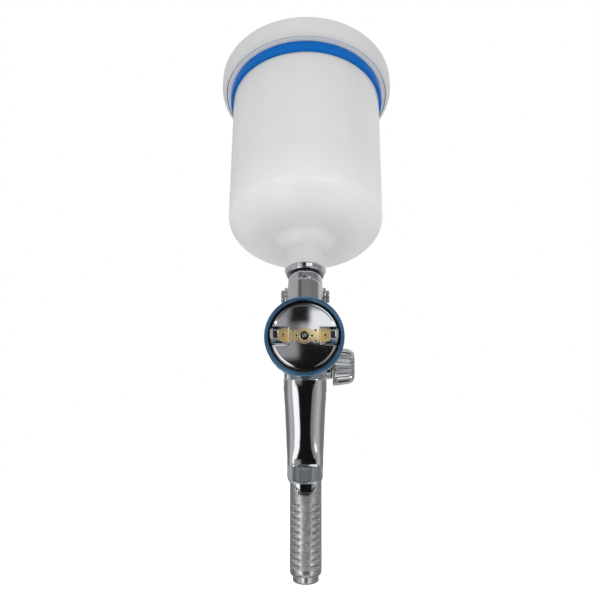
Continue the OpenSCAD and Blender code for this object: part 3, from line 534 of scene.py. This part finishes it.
# Fluid nozzle and air baffle, inside the head: a stainless nozzle screwed into the body, whose
# tip ends in the middle of the air cap, and the drilled ring that spreads the air round it.
def carried(node, name, material, body, edge=0.12):
    """A piece with a CAD node's shape, its sharp edges broken by a small bevel."""
    weld, (level, sharp, crease) = 2e-6, map(math.radians, (0.5, 35, 32))
    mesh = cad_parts[node].data.copy()
    mesh.materials.clear()
    mesh.materials.append(material)
    work = bmesh.new()
    work.from_mesh(mesh)
    bmesh.ops.remove_doubles(work, verts=work.verts, dist=weld)
    bmesh.ops.dissolve_limit(work, angle_limit=level, verts=work.verts, edges=work.edges)
    edges = [e for e in work.edges if len(e.link_faces) == 2 and e.calc_face_angle() > sharp]
    bmesh.ops.bevel(work, geom=edges, offset=edge * 0.001, segments=2, profile=0.5,
                    affect="EDGES", clamp_overlap=True)
    work.to_mesh(mesh)
    work.free()
    mesh.shade_smooth()
    mesh.set_sharp_from_angle(angle=crease)
    fitted(placed(name, mesh), Matrix(), node, body)


def dressed(material, node):
    """Gives a CAD node that keeps its own shape a material."""
    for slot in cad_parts[node].material_slots:
        slot.material = material


carried("fluid_nozzle", "fluid_nozzle_steel", steel, "gun", 0.08)
dressed(steel, "air_baffle")


# Air cap: turned from brass and chromed, with a gently domed mirror face and two horns. The
# horns' inner slopes and the band between them are cut after plating, so bare brass shows there.
cap_r, cap_rear, cap_dome = 16.95, 8.2, 0.0078
flange_r, flange_front = 17.9, 5.5
horn_half, horn_tip, horn_r = 4.2, -6, 16.3
nozzle_hole_r, horn_jet_r, face_jet_r, side_jet_r = 1.95, 0.75, 0.45, 0.4
brass_end, brass_boss_r = 12.35, 4.3


def air_cap_shape(x, y, z):
    """Distance to the cap, whose face looks along -Y."""
    r, side, up = np.hypot(x, z), np.abs(x), np.abs(z)
    dome = cap_dome * r ** 2
    # A fine turned line runs round the face near its edge.
    face = dome + 0.12 * scored(r - 15.8, 0.4)
    disc = np.maximum(within(r - cap_r, face - y, 0.8), y - cap_rear)
    flange = within(r - flange_r, np.maximum(flange_front - y, y - cap_rear), 0.3)
    hollow = np.maximum(r - 14.2, 2.5 + dome + 0.06 * np.maximum(r - 6, 0) - y)
    cap = cut(np.minimum(disc, flange), hollow, 0.3)
    # Each horn has a slope to the middle, a flank on each side and a corner cut off outside.
    slope = -0.829 * (side - 7.6) - 0.559 * (y - 0.9)
    flank = np.maximum(up - horn_half, 0.877 * (up - horn_half) - 0.48 * (y + 1.8))
    corner = 0.82 * (side - 15.45) - 0.57 * (y - horn_tip)
    horn = within(slope, horn_tip - y, 0.12)
    horn = within(horn, flank, 0.35)
    horn = within(horn, np.maximum(r - horn_r, corner), 0.5)
    cap = joined(cap, np.maximum(horn, y - 4.2), 0.5)
    cap = cut(cap, r - nozzle_hole_r, 0.35)
    jet = np.hypot(0.53 * (side - 10) - 0.848 * (y + 2.66), z) - horn_jet_r
    cap = cut(cap, np.maximum(jet, side - 13.6), 0.12)
    cap = cut(cap, np.hypot(side - 3.7, z) - face_jet_r, 0.1)
    return cut(cap, np.hypot(side - 5.4, up - 2.6) - side_jet_r, 0.1)


plated, tree = new_material("chromed_brass")
bare = kept(tree, "bare")
# Fine turning marks on the mirror and coarser milling marks on the brass.
marks = noise(tree, scale=1800, detail=3)
coated(tree, {
    "Metallic": 1, "Base Color": toned(tree, bare, "#C8CACD", "#F2DFB0"),
    "Roughness": mixed(tree, bare, 0.1, 0.28),
    "Normal": bumped(tree, marks, ranged(tree, bare, low=0.02, high=0.25), 0.0002)})

cap, points = cast("air_cap_horned", plated, air_cap_shape,
                   (-18.4, -6.6, -18.4), (18.4, 8.8, 18.4), cell=0.27)
x, y, z = points.T
band_half = 2.5 + 1.0 * part(np.abs(x) / 9)
band = part((band_half - np.abs(z)) / 0.35) * part((brass_end - np.abs(x)) / 0.2)
boss = part((brass_boss_r - np.hypot(x, z)) / 0.5)
marked(cap, "bare", np.maximum(band, boss) * (y < 2))
fitted(cap, gun, "air_cap", "air_cap")


# Cap ring: turned from aluminium bar, anodised blue, with a fluted grip band at its rear. It
# screws on the head and clamps the cap. A black plastic ring inside it keeps the cap in place.
def soft(profile, step, rounds=4):
    """A profile of radius, place and rounding, with its corners rounded and long runs cut up."""
    closed = profile[0][0] > 0
    corners = [np.array(p[:2], float) for p in profile]
    # A rounding takes no more than this share of a run, and leads in over this many radii.
    most, lead = 0.4, 1.2
    outline = []
    for i, p in enumerate(corners):
        radius = profile[i][2] if len(profile[i]) > 2 else 0
        if radius == 0:
            outline.append(p)
            continue
        ways = [corners[i - 1] - p, corners[(i + 1) % len(corners)] - p]
        radius = min(radius, *(most * np.linalg.norm(w) for w in ways))
        a, b = (w / np.linalg.norm(w) * radius for w in ways)
        outline.append(p + lead * a)
        for u in np.linspace(0, 1, rounds + 1):
            outline.append(p + a * (1 - u) ** 2 + b * u ** 2)
        outline.append(p + lead * b)
    runs = []
    for i, p in enumerate(outline):
        if i == len(outline) - 1 and not closed:
            runs.append(p[None])
            continue
        q = outline[(i + 1) % len(outline)]
        parts = max(1, math.ceil(np.linalg.norm(q - p) / step))
        runs.append(p + (q - p) * (np.arange(parts) / parts)[:, None])
    return np.concatenate(runs), closed


def turned(name, material, profile, sides=128, step=50):
    """A turned piece on a local Z axis in millimetres, from its profile."""
    outline, closed = soft(profile, step)
    angle = np.arange(sides) * 2 * math.pi / sides
    points = np.stack([outline[:, :1] * np.cos(angle), outline[:, :1] * np.sin(angle),
                       np.repeat(outline[:, 1:], sides, 1)], 2).reshape(-1, 3)
    rows = len(outline) if closed else len(outline) - 1
    i, j = np.meshgrid(np.arange(rows), np.arange(sides), indexing="ij")
    below, ahead = (i + 1) % len(outline), (j + 1) % sides
    faces = np.stack([i * sides + j, below * sides + j, below * sides + ahead,
                      i * sides + ahead], 2)
    mesh = bpy.data.meshes.new(name)
    mesh.from_pydata(points.tolist(), [], faces.reshape(-1, 4).tolist())
    work = bmesh.new()
    work.from_mesh(mesh)
    bmesh.ops.remove_doubles(work, verts=work.verts, dist=1e-4)
    bmesh.ops.recalc_face_normals(work, faces=work.faces)
    work.to_mesh(mesh)
    work.free()
    mesh.shade_smooth()
    mesh.set_sharp_from_angle(angle=math.radians(40))
    mesh.materials.append(material)
    return placed(name, mesh)


def axis_at(start, direction):
    """Frame that puts local Z along a direction of the gun, from a place in millimetres."""
    turn = Vector(direction).to_track_quat("Z", "Y").to_matrix().to_4x4()
    return gun @ Matrix.Translation(start) @ turn


barrel_axis = axis_at((0, 0, 0), (0, 1, 0))

# Flutes, or with turns along the axis a screw thread, pressed into a turned piece.
flutes, given = new_tree("pressed_flutes", {
    "Count": ("Float", 20), "Turns": ("Float", 0), "Depth": ("Float", 0.5), "Width": ("Float", 0.5),
    "Start": ("Float", 0), "End": ("Float", 10), "Ease": ("Float", 0.5),
    "Least radius": ("Float", 0), "Greatest radius": ("Float", 100),
    "Material": ("Material", None)})
position = add(flutes, "GeometryNodeInputPosition")[0]
at_x, at_y, at_z = add(flutes, "ShaderNodeSeparateXYZ", {0: position})
angle = calc(flutes, "ARCTAN2", at_y, at_x)
round_part = calc(flutes, "MULTIPLY", angle, 0.5 / math.pi)
climb = calc(flutes, "MULTIPLY", at_z, given["Turns"])
phase = calc(flutes, "MULTIPLY_ADD", round_part, given["Count"], climb)
phase = calc(flutes, "FRACT", phase)
off = calc(flutes, "ABSOLUTE", calc(flutes, "SUBTRACT", phase, 0.5))
half_width = calc(flutes, "MULTIPLY", given["Width"], 0.5)
eased = {"interpolation_type": "SMOOTHSTEP"}
flute = ranged(flutes, off, low=1, high=0, end=half_width, **eased)
begun = ranged(flutes, at_z, start=given["Start"],
               end=calc(flutes, "ADD", given["Start"], given["Ease"]), **eased)
ended = ranged(flutes, at_z, low=1, high=0, end=given["End"],
               start=calc(flutes, "SUBTRACT", given["End"], given["Ease"]), **eased)
flat = add(flutes, "ShaderNodeCombineXYZ", {"X": at_x, "Y": at_y})[0]
radius = add(flutes, "ShaderNodeVectorMath", {0: flat}, operation="LENGTH")["Value"]
over = calc(flutes, "GREATER_THAN", radius, given["Least radius"])
under = calc(flutes, "LESS_THAN", radius, given["Greatest radius"])
sunk = calc(flutes, "MULTIPLY", given["Depth"], -1)
for share in (flute, begun, ended, over, under):
    sunk = calc(flutes, "MULTIPLY", sunk, share)
outward = add(flutes, "ShaderNodeVectorMath", {0: flat}, operation="NORMALIZE")[0]
move = add(flutes, "ShaderNodeVectorMath", {0: outward, "Scale": sunk}, operation="SCALE")
moved = add(flutes, "GeometryNodeSetPosition", {
    "Geometry": given["Geometry"], "Offset": move[0]})[0]
closed_tree(flutes, moved, given["Material"])

# Blue anodised aluminium: a coloured metal sheen over very fine turning rings.
anodised, tree = new_material("blue_anodised_aluminium")
# Turning rings 0.3 mm apart along the ring's axis, and a faint cloud 7 mm across.
rings = noise(tree, scale=3300, detail=2, stretch=(0.02, 1, 0.02))
cloud = noise(tree, scale=140, detail=3)
coated(tree, {
    "Metallic": 1, "Base Color": toned(tree, rings, "#557DA3", "#6089B0"),
    "Roughness": ranged(tree, cloud, low=0.2, high=0.36),
    "Normal": bumped(tree, rings, 0.06)})

ring = turned("air_cap_ring_blue", anodised, [
    (17.5, 0.3, 0.15), (17.8, 0, 0.1), (18.6, 0, 0.15), (19.5, 1, 0.3), (19.5, 6, 0.15),
    (19, 6.4, 0.15), (19, 7.2, 0.15), (19.5, 7.6, 0.15), (19.5, 12.5, 0.2), (19, 13, 0.2),
    (17.95, 13), (17.95, 8.6), (18.25, 8.6), (18.25, 2.6), (17.5, 2.6, 0.1)], sides=360, step=0.6)
grown(ring, flutes, {
    "Count": 30.0, "Depth": 0.32, "Width": 0.42, "Start": 8.2, "End": 14.0,
    "Ease": 0.4, "Least radius": 18.6, "Material": anodised})
fitted(ring, barrel_axis, "air_cap_ring", "cap_ring")

# Black acetal: nearly black, with a soft sheen and a faint moulding mottle.
acetal, tree = new_material("black_acetal")
mottle = noise(tree, scale=800, detail=3)
coated(tree, {
    "IOR": 1.48, "Base Color": toned(tree, mottle, "#0A0A0B", "#141415"),
    "Roughness": ranged(tree, mottle, low=0.35, high=0.5),
    "Normal": bumped(tree, mottle, 0.1)})

fitted(turned("cap_retainer_black", acetal, [
    (17.1, 0.9, 0.1), (17.4, 0.9, 0.1), (17.4, 2.7), (18.1, 2.7), (18.1, 4.2), (17.4, 4.2),
    (17.4, 5.3), (17.1, 5.3)], sides=180),
       barrel_axis, "cap_retainer", "cap_ring")


# Needle train, inside the barrel: a stainless needle with a brass collar, its packing and nut,
# a closing spring, and at the rear a threaded sleeve with the fluted knob that limits its travel.
brass, tree = new_material("turned_brass")
# Turning marks 0.5 mm apart, and darker tarnish in patches about 4 mm across.
marks = noise(tree, scale=2000, detail=2)
tarnish = noise(tree, scale=250, detail=4)
coated(tree, {
    "Metallic": 1, "Base Color": toned(tree, tarnish, "#B8954F", "#CDB06C"),
    "Roughness": ranged(tree, marks, low=0.2, high=0.38),
    "Normal": bumped(tree, marks, 0.08)})

# White polyethylene mouldings: a soft greyish white that lets a little light in.
moulding, tree = new_material("white_polyethylene")
# Moulding grain 0.7 mm across and faint flow clouds about 20 mm across.
grain = noise(tree, scale=1400, detail=2)
cloud = noise(tree, scale=50, detail=3)
coated(tree, {
    "IOR": 1.51, "Subsurface Weight": 0.15, "Subsurface Radius": (0.002, 0.002, 0.002),
    "Subsurface Scale": 1.0, "Base Color": toned(tree, cloud, "#D1D1D2", "#D5D5D5"),
    "Roughness": ranged(tree, cloud, low=0.42, high=0.56),
    "Normal": bumped(tree, grain, 0.12)})

dressed(moulding, "needle_packing")

# Springs wound from steel wire: one tree winds both, and the trigger squeezes them.
coil, given = new_tree("wound_spring", {
    "Turns": ("Float", 12), "Radius": ("Float", 4), "Length": ("Float", 30), "Wire": ("Float", 0.5),
    "Material": ("Material", None)})
helix = add(coil, "GeometryNodeCurveSpiral", {
    "Resolution": 24, "Rotations": given["Turns"], "Start Radius": given["Radius"],
    "End Radius": given["Radius"], "Height": given["Length"]})[0]
section = add(coil, "GeometryNodeCurvePrimitiveCircle", {
    "Resolution": 10, "Radius": given["Wire"]})[0]
wire = add(coil, "GeometryNodeCurveToMesh", {
    "Fill Caps": True, "Curve": helix, "Profile Curve": section})[0]
closed_tree(coil, wire, given["Material"])


def wound(node, radius, wire, turns):
    """A spring held at its rear end."""
    low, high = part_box(node)
    length = (high.y - low.y) * 1000
    middle = (low + high) / 2
    spring = placed(node + "_wire", bpy.data.meshes.new(node + "_wire"))
    grown(spring, coil, {"Turns": turns, "Radius": radius, "Length": length - 2 * wire,
                         "Wire": wire, "Material": steel})
    start = (low.y - gun_origin.y) * 1000 + wire
    spring_axis = axis_at((0, start, (middle.z - gun_origin.z) * 1000), (0, 1, 0))
    fitted(spring, spring_axis, node, "gun")
    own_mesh(spring)


wound("needle_spring", 4.3, 0.5, 12.0)
carried("packing_nut", "packing_nut_brass", brass, "gun")
carried("fluid_needle", "fluid_needle_steel", steel, "needle", 0.05)
carried("needle_collar", "needle_collar_brass", brass, "needle")
carried("rear_guide", "rear_guide_sleeve", chrome, "gun")

rear_knob = turned("fluid_knob_fluted", chrome, [
    (0, 120.48), (7.3, 120.48), (7.3, 108.9, 0.2), (9.5, 108.9, 0.3), (10.5, 109.9, 0.5),
    (10.5, 126.98, 1.5), (9.3, 129.58, 1), (6.5, 130.98, 1.5), (0, 130.98)], sides=192, step=0.7)
grown(rear_knob, flutes, {
    "Count": 16.0, "Depth": 0.9, "Width": 0.66, "Start": 111.2,
    "End": 133.0, "Ease": 1.4, "Least radius": 7.5, "Material": chrome})
fitted(rear_knob, barrel_axis, "fluid_knob", "fluid_knob")


# Air valve, below the barrel: a brass gland, a steel rod that the trigger pushes, a seat, a
# poppet with a soft ring, its spring and a slotted plug at the rear.
rubber, tree = new_material("nitrile_rubber")
# Bloom in patches under 2 mm across.
bloom = noise(tree, scale=600, detail=4)
coated(tree, {
    "IOR": 1.52, "Base Color": toned(tree, bloom, "#121213", "#1E1E1F"),
    "Roughness": ranged(tree, bloom, low=0.55, high=0.75)})

valve_axis = axis_at((0, 0, valve_z), (0, 1, 0))
carried("trigger_yoke", "trigger_yoke_steel", steel, "trigger")
carried("valve_gland", "valve_gland_brass", brass, "gun")
fitted(turned("air_valve_rod", steel, [
    (0, 44.01), (1.2, 44.19, 0.3), (2, 44.81, 0.4), (2.4, 46.01, 0.4), (2.4, 79.3), (5, 79.3, 0.2),
    (5, 82, 0.2), (2, 82), (2, 87.6, 0.1), (1.6, 88, 0.1), (0, 88)], sides=64),
       valve_axis, "air_valve_stem", "air_valve")
dressed(brass, "valve_seat")
dressed(rubber, "poppet_seal")
wound("valve_spring", 4.0, 0.45, 6.0)
carried("valve_plug", "valve_plug_slotted", chrome, "gun", 0.2)


# Fan valve, on the right-hand side: a bush screwed into the body, a spindle, and a zinc knob
# cast with twenty flutes, chromed, held by a slotted screw in its end.
fan_axis = axis_at((0, fan_y, fan_z), (1, 0, 0))
fitted(turned("fan_bush_neck", chrome, [
    (2.25, 3), (5, 3, 0.2), (5, 11.4), (7.3, 11.4, 0.2), (7.3, 14.5, 0.4), (6.6, 15.3, 0.3),
    (2.25, 15.3)]),
       fan_axis, "fan_bush", "gun")
dressed(steel, "fan_spindle")
fan_knob = turned("fan_knob_fluted", chrome, [
    (2.25, 15.6), (10.5, 15.6, 0.3), (11, 16.2, 0.4), (10.7, 19, 1), (9.8, 25, 1.2), (8.8, 26.8, 1),
    (7.2, 27.8, 1), (3, 27.8, 0.3), (3, 25.8), (1.4, 25.8), (1.4, 23.7), (2.25, 23.7)],
    sides=320, step=0.5)
grown(fan_knob, flutes, {
    "Count": 20.0, "Depth": 1.2, "Width": 0.74, "Start": 17.0, "End": 30.0,
    "Ease": 1.2, "Least radius": 6.0, "Material": chrome})
fitted(fan_knob, fan_axis, "fan_knob", "fan_knob")
carried("fan_knob_screw", "fan_knob_screw_steel", steel, "fan_knob", 0.1)


# Air inlet: a plated brass fitting screwed into the foot of the handle on a thin seal, with the
# female pipe thread that the hose's coupling screws into, nineteen threads to the inch.
handle_axis = axis_at((0, handle_y, 0), (0, math.sin(handle_lean), -math.cos(handle_lean)))
thread_pitch = 1.337
fitted(turned("inlet_seal_ring", rubber, [
    (6.9, 126.6), (7.45, 126.6), (7.45, 127.4), (6.9, 127.4)]),
       handle_axis, "inlet_seal", "gun")
inlet = turned("air_inlet_fitting", chrome, [
    (5.725, 132, 0.3), (6.95, 132, 0.2), (7.75, 131.2, 0.3), (7.75, 127.4, 0.2), (6.8, 127.4),
    (6.8, 115.6), (4, 115.6), (4, 121.6), (5.725, 121.6)], step=0.17)
grown(inlet, flutes, {
    "Count": 1.0, "Turns": 1 / thread_pitch, "Depth": -0.6, "Width": 0.9,
    "Start": 121.8, "End": 132.4, "Ease": 0.5, "Greatest radius": 6.1,
    "Material": chrome})
marked(inlet, "satin", [0.5] * len(inlet.data.vertices))
fitted(inlet, handle_axis, "air_inlet", "gun")


# Paint cup: blow-moulded in milky nylon, with a domed bottom that runs into its neck, on a
# chromed collar that screws into the stem. A slotted strainer stands in its outlet.
cup_axis = axis_at((0, stem_y, 0), (0, math.sin(stem_lean), math.cos(stem_lean)))
fitted(turned("stem_seal_ring", rubber, [(7.15, 41), (8.15, 41), (8.15, 41.6), (7.15, 41.6)]),
       cup_axis, "stem_seal", "gun")
fitted(turned("cup_collar", chrome, [
    (4.6, 32), (6.35, 32, 0.2), (6.95, 32.6, 0.2), (6.95, 41.6), (9.9, 41.6, 0.3), (10.3, 42, 0.4),
    (10.9, 44.5, 0.4), (8, 44.5), (8, 63.1), (4.6, 63.1)]),
       cup_axis, "cup_connector", "cup")

# Milky nylon: a cool translucent white with a satin gloss. Its colour is greyer at the thick neck,
# partly painted shade under the dome, and paler where the blown wall is thin, partly painted light
# on the dome's underside and under the rim.
nylon, tree = new_material("milky_nylon")
# Moulding flow clouds about 25 mm across and a fine skin 1 mm across.
cloud = noise(tree, scale=40, detail=3)
skin = noise(tree, scale=900, detail=2)
uneven = calc(tree, "MULTIPLY_ADD", cloud, 0.12, -0.06)
# The kept value pales the colour: partly a thin wall, partly painted light where the cup lies in
# shade, with painted shade at the neck.
thin_wall_and_painted_light = calc(tree, "ADD", uneven, kept(tree, "thin_wall_and_painted_light"))
coated(tree, {
    "IOR": 1.53, "Specular IOR Level": 0.35, "Subsurface Weight": 0.5,
    "Subsurface Radius": (0.006, 0.006, 0.006), "Subsurface Scale": 1.0,
    "Base Color": toned(tree, thin_wall_and_painted_light, "#D2D2D3", "#F6F6F6"),
    "Roughness": ranged(tree, cloud, low=0.15, high=0.19),
    "Normal": bumped(tree, skin, 0.05)})

# The neck's curve and the dome meet on a circle, at this radius and place.
meet_r, meet_at, wall = 21, 64.1, 2
neck_round, dome_wide, dome_high = 9.5, 23.35, 15.4
arc = np.radians(np.linspace(0, 90, 25))
neck = [(meet_r - neck_round * math.cos(a), meet_at - neck_round * (1 - math.sin(a))) for a in arc]


def dome(angles, inset=0):
    """The outline of the dome, set in by a wall's thickness."""
    return [(meet_r + (dome_wide - inset) * math.sin(a),
             meet_at + inset + dome_high * (1 - math.cos(a))) for a in angles]


cup = turned("paint_cup", nylon, [
    (8.05, 44.5), (11.2, 44.5, 0.2), (11.5, 44.9, 0.2), *neck, *dome(arc[1:]), (46.1, 166),
    (46.1, 173.2), (50.5, 173.5, 0.4), (50.5, 184.1, 0.4), (49.9, 184.7, 0.3), (44.6, 184.7, 0.3),
    (44.1, 184.2, 0.3), (44.1, 166), *dome(arc[::-1], wall), (8.05, 63.7)], sides=160, step=0.66)
# Two turns of coarse thread under the lid.
grown(cup, flutes, {
    "Count": 1.0, "Turns": 0.25, "Depth": 0.9, "Width": 0.7, "Start": 175.6,
    "End": 184.0, "Ease": 0.6, "Least radius": 48.0, "Material": nylon})
# The wall is thick at the neck and thinnest round the dome and under the rim; these values are also
# painted shade at the neck under the dome, and painted light on the dome's underside and on the
# flange under the lid, where the cup lies in shade.
heights, thinness_and_painted_light = zip((46, 0.1), (56, 0.15), (61, 0.7), (66, 1), (80, 0.66), (100, 0.38),
                        (135, 0.3), (165, 0.1), (172, 0.1), (173, 1))
marked(cup, "thin_wall_and_painted_light", np.interp([v.co.z for v in cup.data.vertices], heights, thinness_and_painted_light))
fitted(cup, cup_axis, "cup", "cup")
carried("strainer", "strainer_basket", moulding, "cup", 0.1)


# Sealing band and lid: a gloss blue plastic band round the cup's shoulder, and a white screw lid
# with a soft ring inside and a push-in vent plug in its middle.
gloss_blue, tree = new_material("blue_polypropylene")
# Flow clouds about 11 mm across.
cloud = noise(tree, scale=90, detail=3)
coated(tree, {
    "IOR": 1.49, "Specular IOR Level": 0.12,
    "Base Color": toned(tree, cloud, "#0062B6", "#0868BC"),
    "Roughness": ranged(tree, cloud, low=0.18, high=0.3)})

fitted(turned("lid_band_blue", gloss_blue, [
    (46.15, 166), (47.2, 166, 0.3), (48.1, 167.2, 0.4), (48.1, 172.7, 0.4), (47.7, 173.1, 0.2),
    (46.15, 173.1)], sides=192),
       cup_axis, "lid_band", "cup")
fitted(turned("lid_gasket_ring", moulding, [
    (44.7, 184.75, 0.2), (50.1, 184.75, 0.2), (50.1, 185.5), (44.7, 185.5)], sides=160),
       cup_axis, "lid_gasket", "lid")
fitted(turned("cup_lid_white", moulding, [
    (50.8, 173.4, 0.2), (51.3, 173.4, 0.2), (53, 175, 0.8), (53.9, 177.6, 1.2), (53.9, 185.3, 1.6),
    (53, 187.4, 1.2), (50.9, 188.3, 1.2), (3, 188.3, 0.2), (3, 185.5), (50.8, 185.5)], sides=192),
       cup_axis, "cup_lid", "lid")
fitted(turned("vent_plug_white", moulding, [
    (0.7, 183.5, 0.2), (2.6, 183.5, 0.2), (2.95, 184.5, 0.2), (2.95, 188.3), (6, 188.3, 0.2),
    (6, 190.3, 0.5), (5, 191.3, 0.5), (0.7, 191.3, 0.2)]),
       cup_axis, "vent_plug", "lid")


# Studio: a pale floor below the gun, which hangs free, an even white light all round, two small
# lamps in front, and a surround of boxes and dark cloths that only reflections see.
def stage_mesh(name, material, points, faces):
    """A stage object from points in metres."""
    mesh = bpy.data.meshes.new(name)
    mesh.from_pydata(points, [], faces)
    mesh.materials.append(material)
    piece = placed(name, mesh)
    return piece


def shown(tree):
    """One for rays that show a thing, and nothing for rays that only bring its light."""
    ray = add(tree, "ShaderNodeLightPath")
    seen = calc(tree, "MAXIMUM", ray["Is Camera Ray"], ray["Is Glossy Ray"])
    return calc(tree, "MAXIMUM", seen, ray["Is Transmission Ray"])


white = linear("#FFFFFF")
floor_z, floor_half, floor_glow = -0.08, 4, 0.45
paper, tree = new_material("white_paper_sweep")
matt = add(tree, "ShaderNodeBsdfDiffuse", {"Color": linear("#EDEDED")})[0]
glow = calc(tree, "MULTIPLY", shown(tree), floor_glow)
glow = add(tree, "ShaderNodeEmission", {"Color": white, "Strength": glow})[0]
both = add(tree, "ShaderNodeAddShader", {0: matt, 1: glow})[0]
add(tree, "ShaderNodeOutputMaterial", {"Surface": both})
stage_mesh("floor", paper, [(floor_half * x, floor_half * y, floor_z) for x, y in (
    (-1, -1), (1, -1), (1, 1), (-1, 1))], [(0, 1, 2, 3)])

# The light is a little weaker from the left and the right than from the front.
front_light, side_loss = 1.16, 0.64
studio = bpy.data.worlds.new("studio")
bpy.context.scene.world = studio
studio.use_nodes = True
tree = studio.node_tree
tree.nodes.clear()
way = add(tree, "ShaderNodeTexCoord")["Generated"]
aside = add(tree, "ShaderNodeSeparateXYZ", {0: way})["X"]
lit = calc(tree, "MULTIPLY", aside, aside)
lit = calc(tree, "MULTIPLY_ADD", lit, -side_loss, front_light)
level = mixed(tree, shown(tree), lit, 1.0)
sky = add(tree, "ShaderNodeBackground", {"Color": white, "Strength": level})[0]
add(tree, "ShaderNodeOutputWorld", {"Surface": sky})

studio_centre = gun_origin + Vector((0, 0.05, -0.02))
studio_r, above_floor = 0.9, 0.004


def toward(azimuth, elevation, distance):
    """A point of the studio above its floor; azimuth 0 is the camera's side, 90 the right-hand."""
    a, e = math.radians(azimuth), math.radians(elevation)
    way = Vector((math.sin(a) * math.cos(e), -math.cos(a) * math.cos(e), math.sin(e)))
    if way.z < 0:
        distance = min(distance, (studio_centre.z - floor_z - above_floor) / -way.z)
    return studio_centre + distance * way


def between(place, low, high, edge):
    """One between two edges, easing to nothing outside them."""
    return part((place - low) / edge + 0.5) * part((high - place) / edge + 0.5)


# Surround that only reflections see. Each patch has its left and right edge, its low and high
# edge, the width of its soft edges and its brightness, and lies over the ones before it.
azimuths, elevations = np.arange(-180, 181, 2), np.arange(-86, 87, 2)
across, up = np.meshgrid(azimuths, elevations)
bright = np.full(across.shape, 0.55)
# The dark cloth behind the camera widens at its top.
half = 18 + 12 * part((up + 20) / 10) ** 2
for left, right, low, high, edge, value in (
        (-155, -46, -95, 8, 10, 0.24),  # left wall
        (-86, -46, -95, 12, 22, 0.66),  # its front end
        (46, 155, -95, 12, 14, 0.28),  # right wall
        (112, 178, 8, 50, 20, 0.75),  # pale wall behind it
        (-60, 60, 28, 76, 12, 0.3),  # canopy over the camera
        (-50, -30, 28, 62, 12, 0.15),  # its left edge
        (42, 104, 14, 62, 14, 0.26),  # cloth high on the right
        (-200, 200, -95, -62, 10, 0.2),  # floor
        (-200, 200, -95, -77, 6, 0.5),  # its middle, right below
        (-46, -12, -64, -4, 4, 1.6),  # light box low on the left
        (10, 46, -64, 13, 8, 0.3),  # grey card on the right
        (36, 74, -64, 13, 24, 0.66),  # pale card beyond it
        (36, 52, -66, -44.5, 3, 1.6),  # small light box low on the right
        (-half, half, -68, 4, 3, 0.01),  # dark cloth behind the camera
        (-30, -5, 7, 28, 6, 0.22),  # grey card above it, on the left
        (-32, -16, 8, 27, 5, 0.5),  # its paler end
        (4, 34, 6, 34, 5, 1.3),  # light box above it, on the right
        (-15, 5, 21, 40, 5, 0.01),  # dark flag between the two
        (-30, -6, -11, 8, 5, 0.42),  # card on the cloth's left edge
        (-7, 7, 2, 14, 4, 0.01),  # dark flag over the cloth
        (-200, 200, 76, 95, 6, 0.12),  # dark ceiling
        (-200, -80, 50, 95, 12, 0.12),  # its left side
        (80, 200, 50, 95, 12, 0.12),  # its right side
        (-25, 28, 54, 66, 3, 0.6),  # pale strip in the canopy
        (-25, 28, -77, -66, 4, 0.75)):  # pale strip on the floor
    bright += (value - bright) * between(across, left, right, edge) * between(up, low, high, edge)
cloth, tree = new_material("studio_cloth")
cloth.cycles.emission_sampling = "NONE"
glow = add(tree, "ShaderNodeEmission", {"Color": white, "Strength": kept(tree, "bright")})
add(tree, "ShaderNodeOutputMaterial", {"Surface": glow[0]})
wide = len(azimuths)
first = [wide * i + j for i in range(len(elevations) - 1) for j in range(wide - 1)]
surround = stage_mesh("surround", cloth,
                      [toward(a, e, studio_r) for e in elevations for a in azimuths],
                      [(k, k + 1, k + wide + 1, k + wide) for k in first])
marked(surround, "bright", bright.ravel())
for kind in ("camera", "diffuse", "transmission", "volume_scatter", "shadow"):
    setattr(surround, "visible_" + kind, False)

lamp_high, lamp_away, lamp_width, lamp_power = 25, 0.88, 0.022, 0.3
for name, azimuth in (("left_lamp", -38), ("right_lamp", 38)):
    lamp_data = bpy.data.lights.new(name, "AREA")
    lamp_data.shape, lamp_data.size, lamp_data.energy = "DISK", lamp_width, lamp_power
    lamp = placed(name, lamp_data)
    lamp.location = toward(azimuth, lamp_high, lamp_away)
    lamp.rotation_mode = "QUATERNION"
    lamp.rotation_quaternion = (studio_centre - lamp.location).to_track_quat("-Z", "Y")


# Camera: in front of the air cap and a little below it, looking up.
camera_data = bpy.data.cameras.new("camera")
camera_data.lens, camera_data.sensor_width = 42, 36
camera = placed("camera", camera_data)
pitch, yaw, roll = math.radians(11.5), math.radians(-1.0), math.radians(0.2)
look = Vector((math.sin(yaw) * math.cos(pitch), math.cos(yaw) * math.cos(pitch), math.sin(pitch)))
camera.location = gun @ Vector((3.7, -333.6, -50.4))
camera.rotation_mode = "QUATERNION"
camera.rotation_quaternion = look.to_track_quat("-Z", "Y") @ Quaternion((0, 0, 1), roll)
bpy.context.scene.camera = camera

bpy.context.scene.view_settings.view_transform = "Standard"
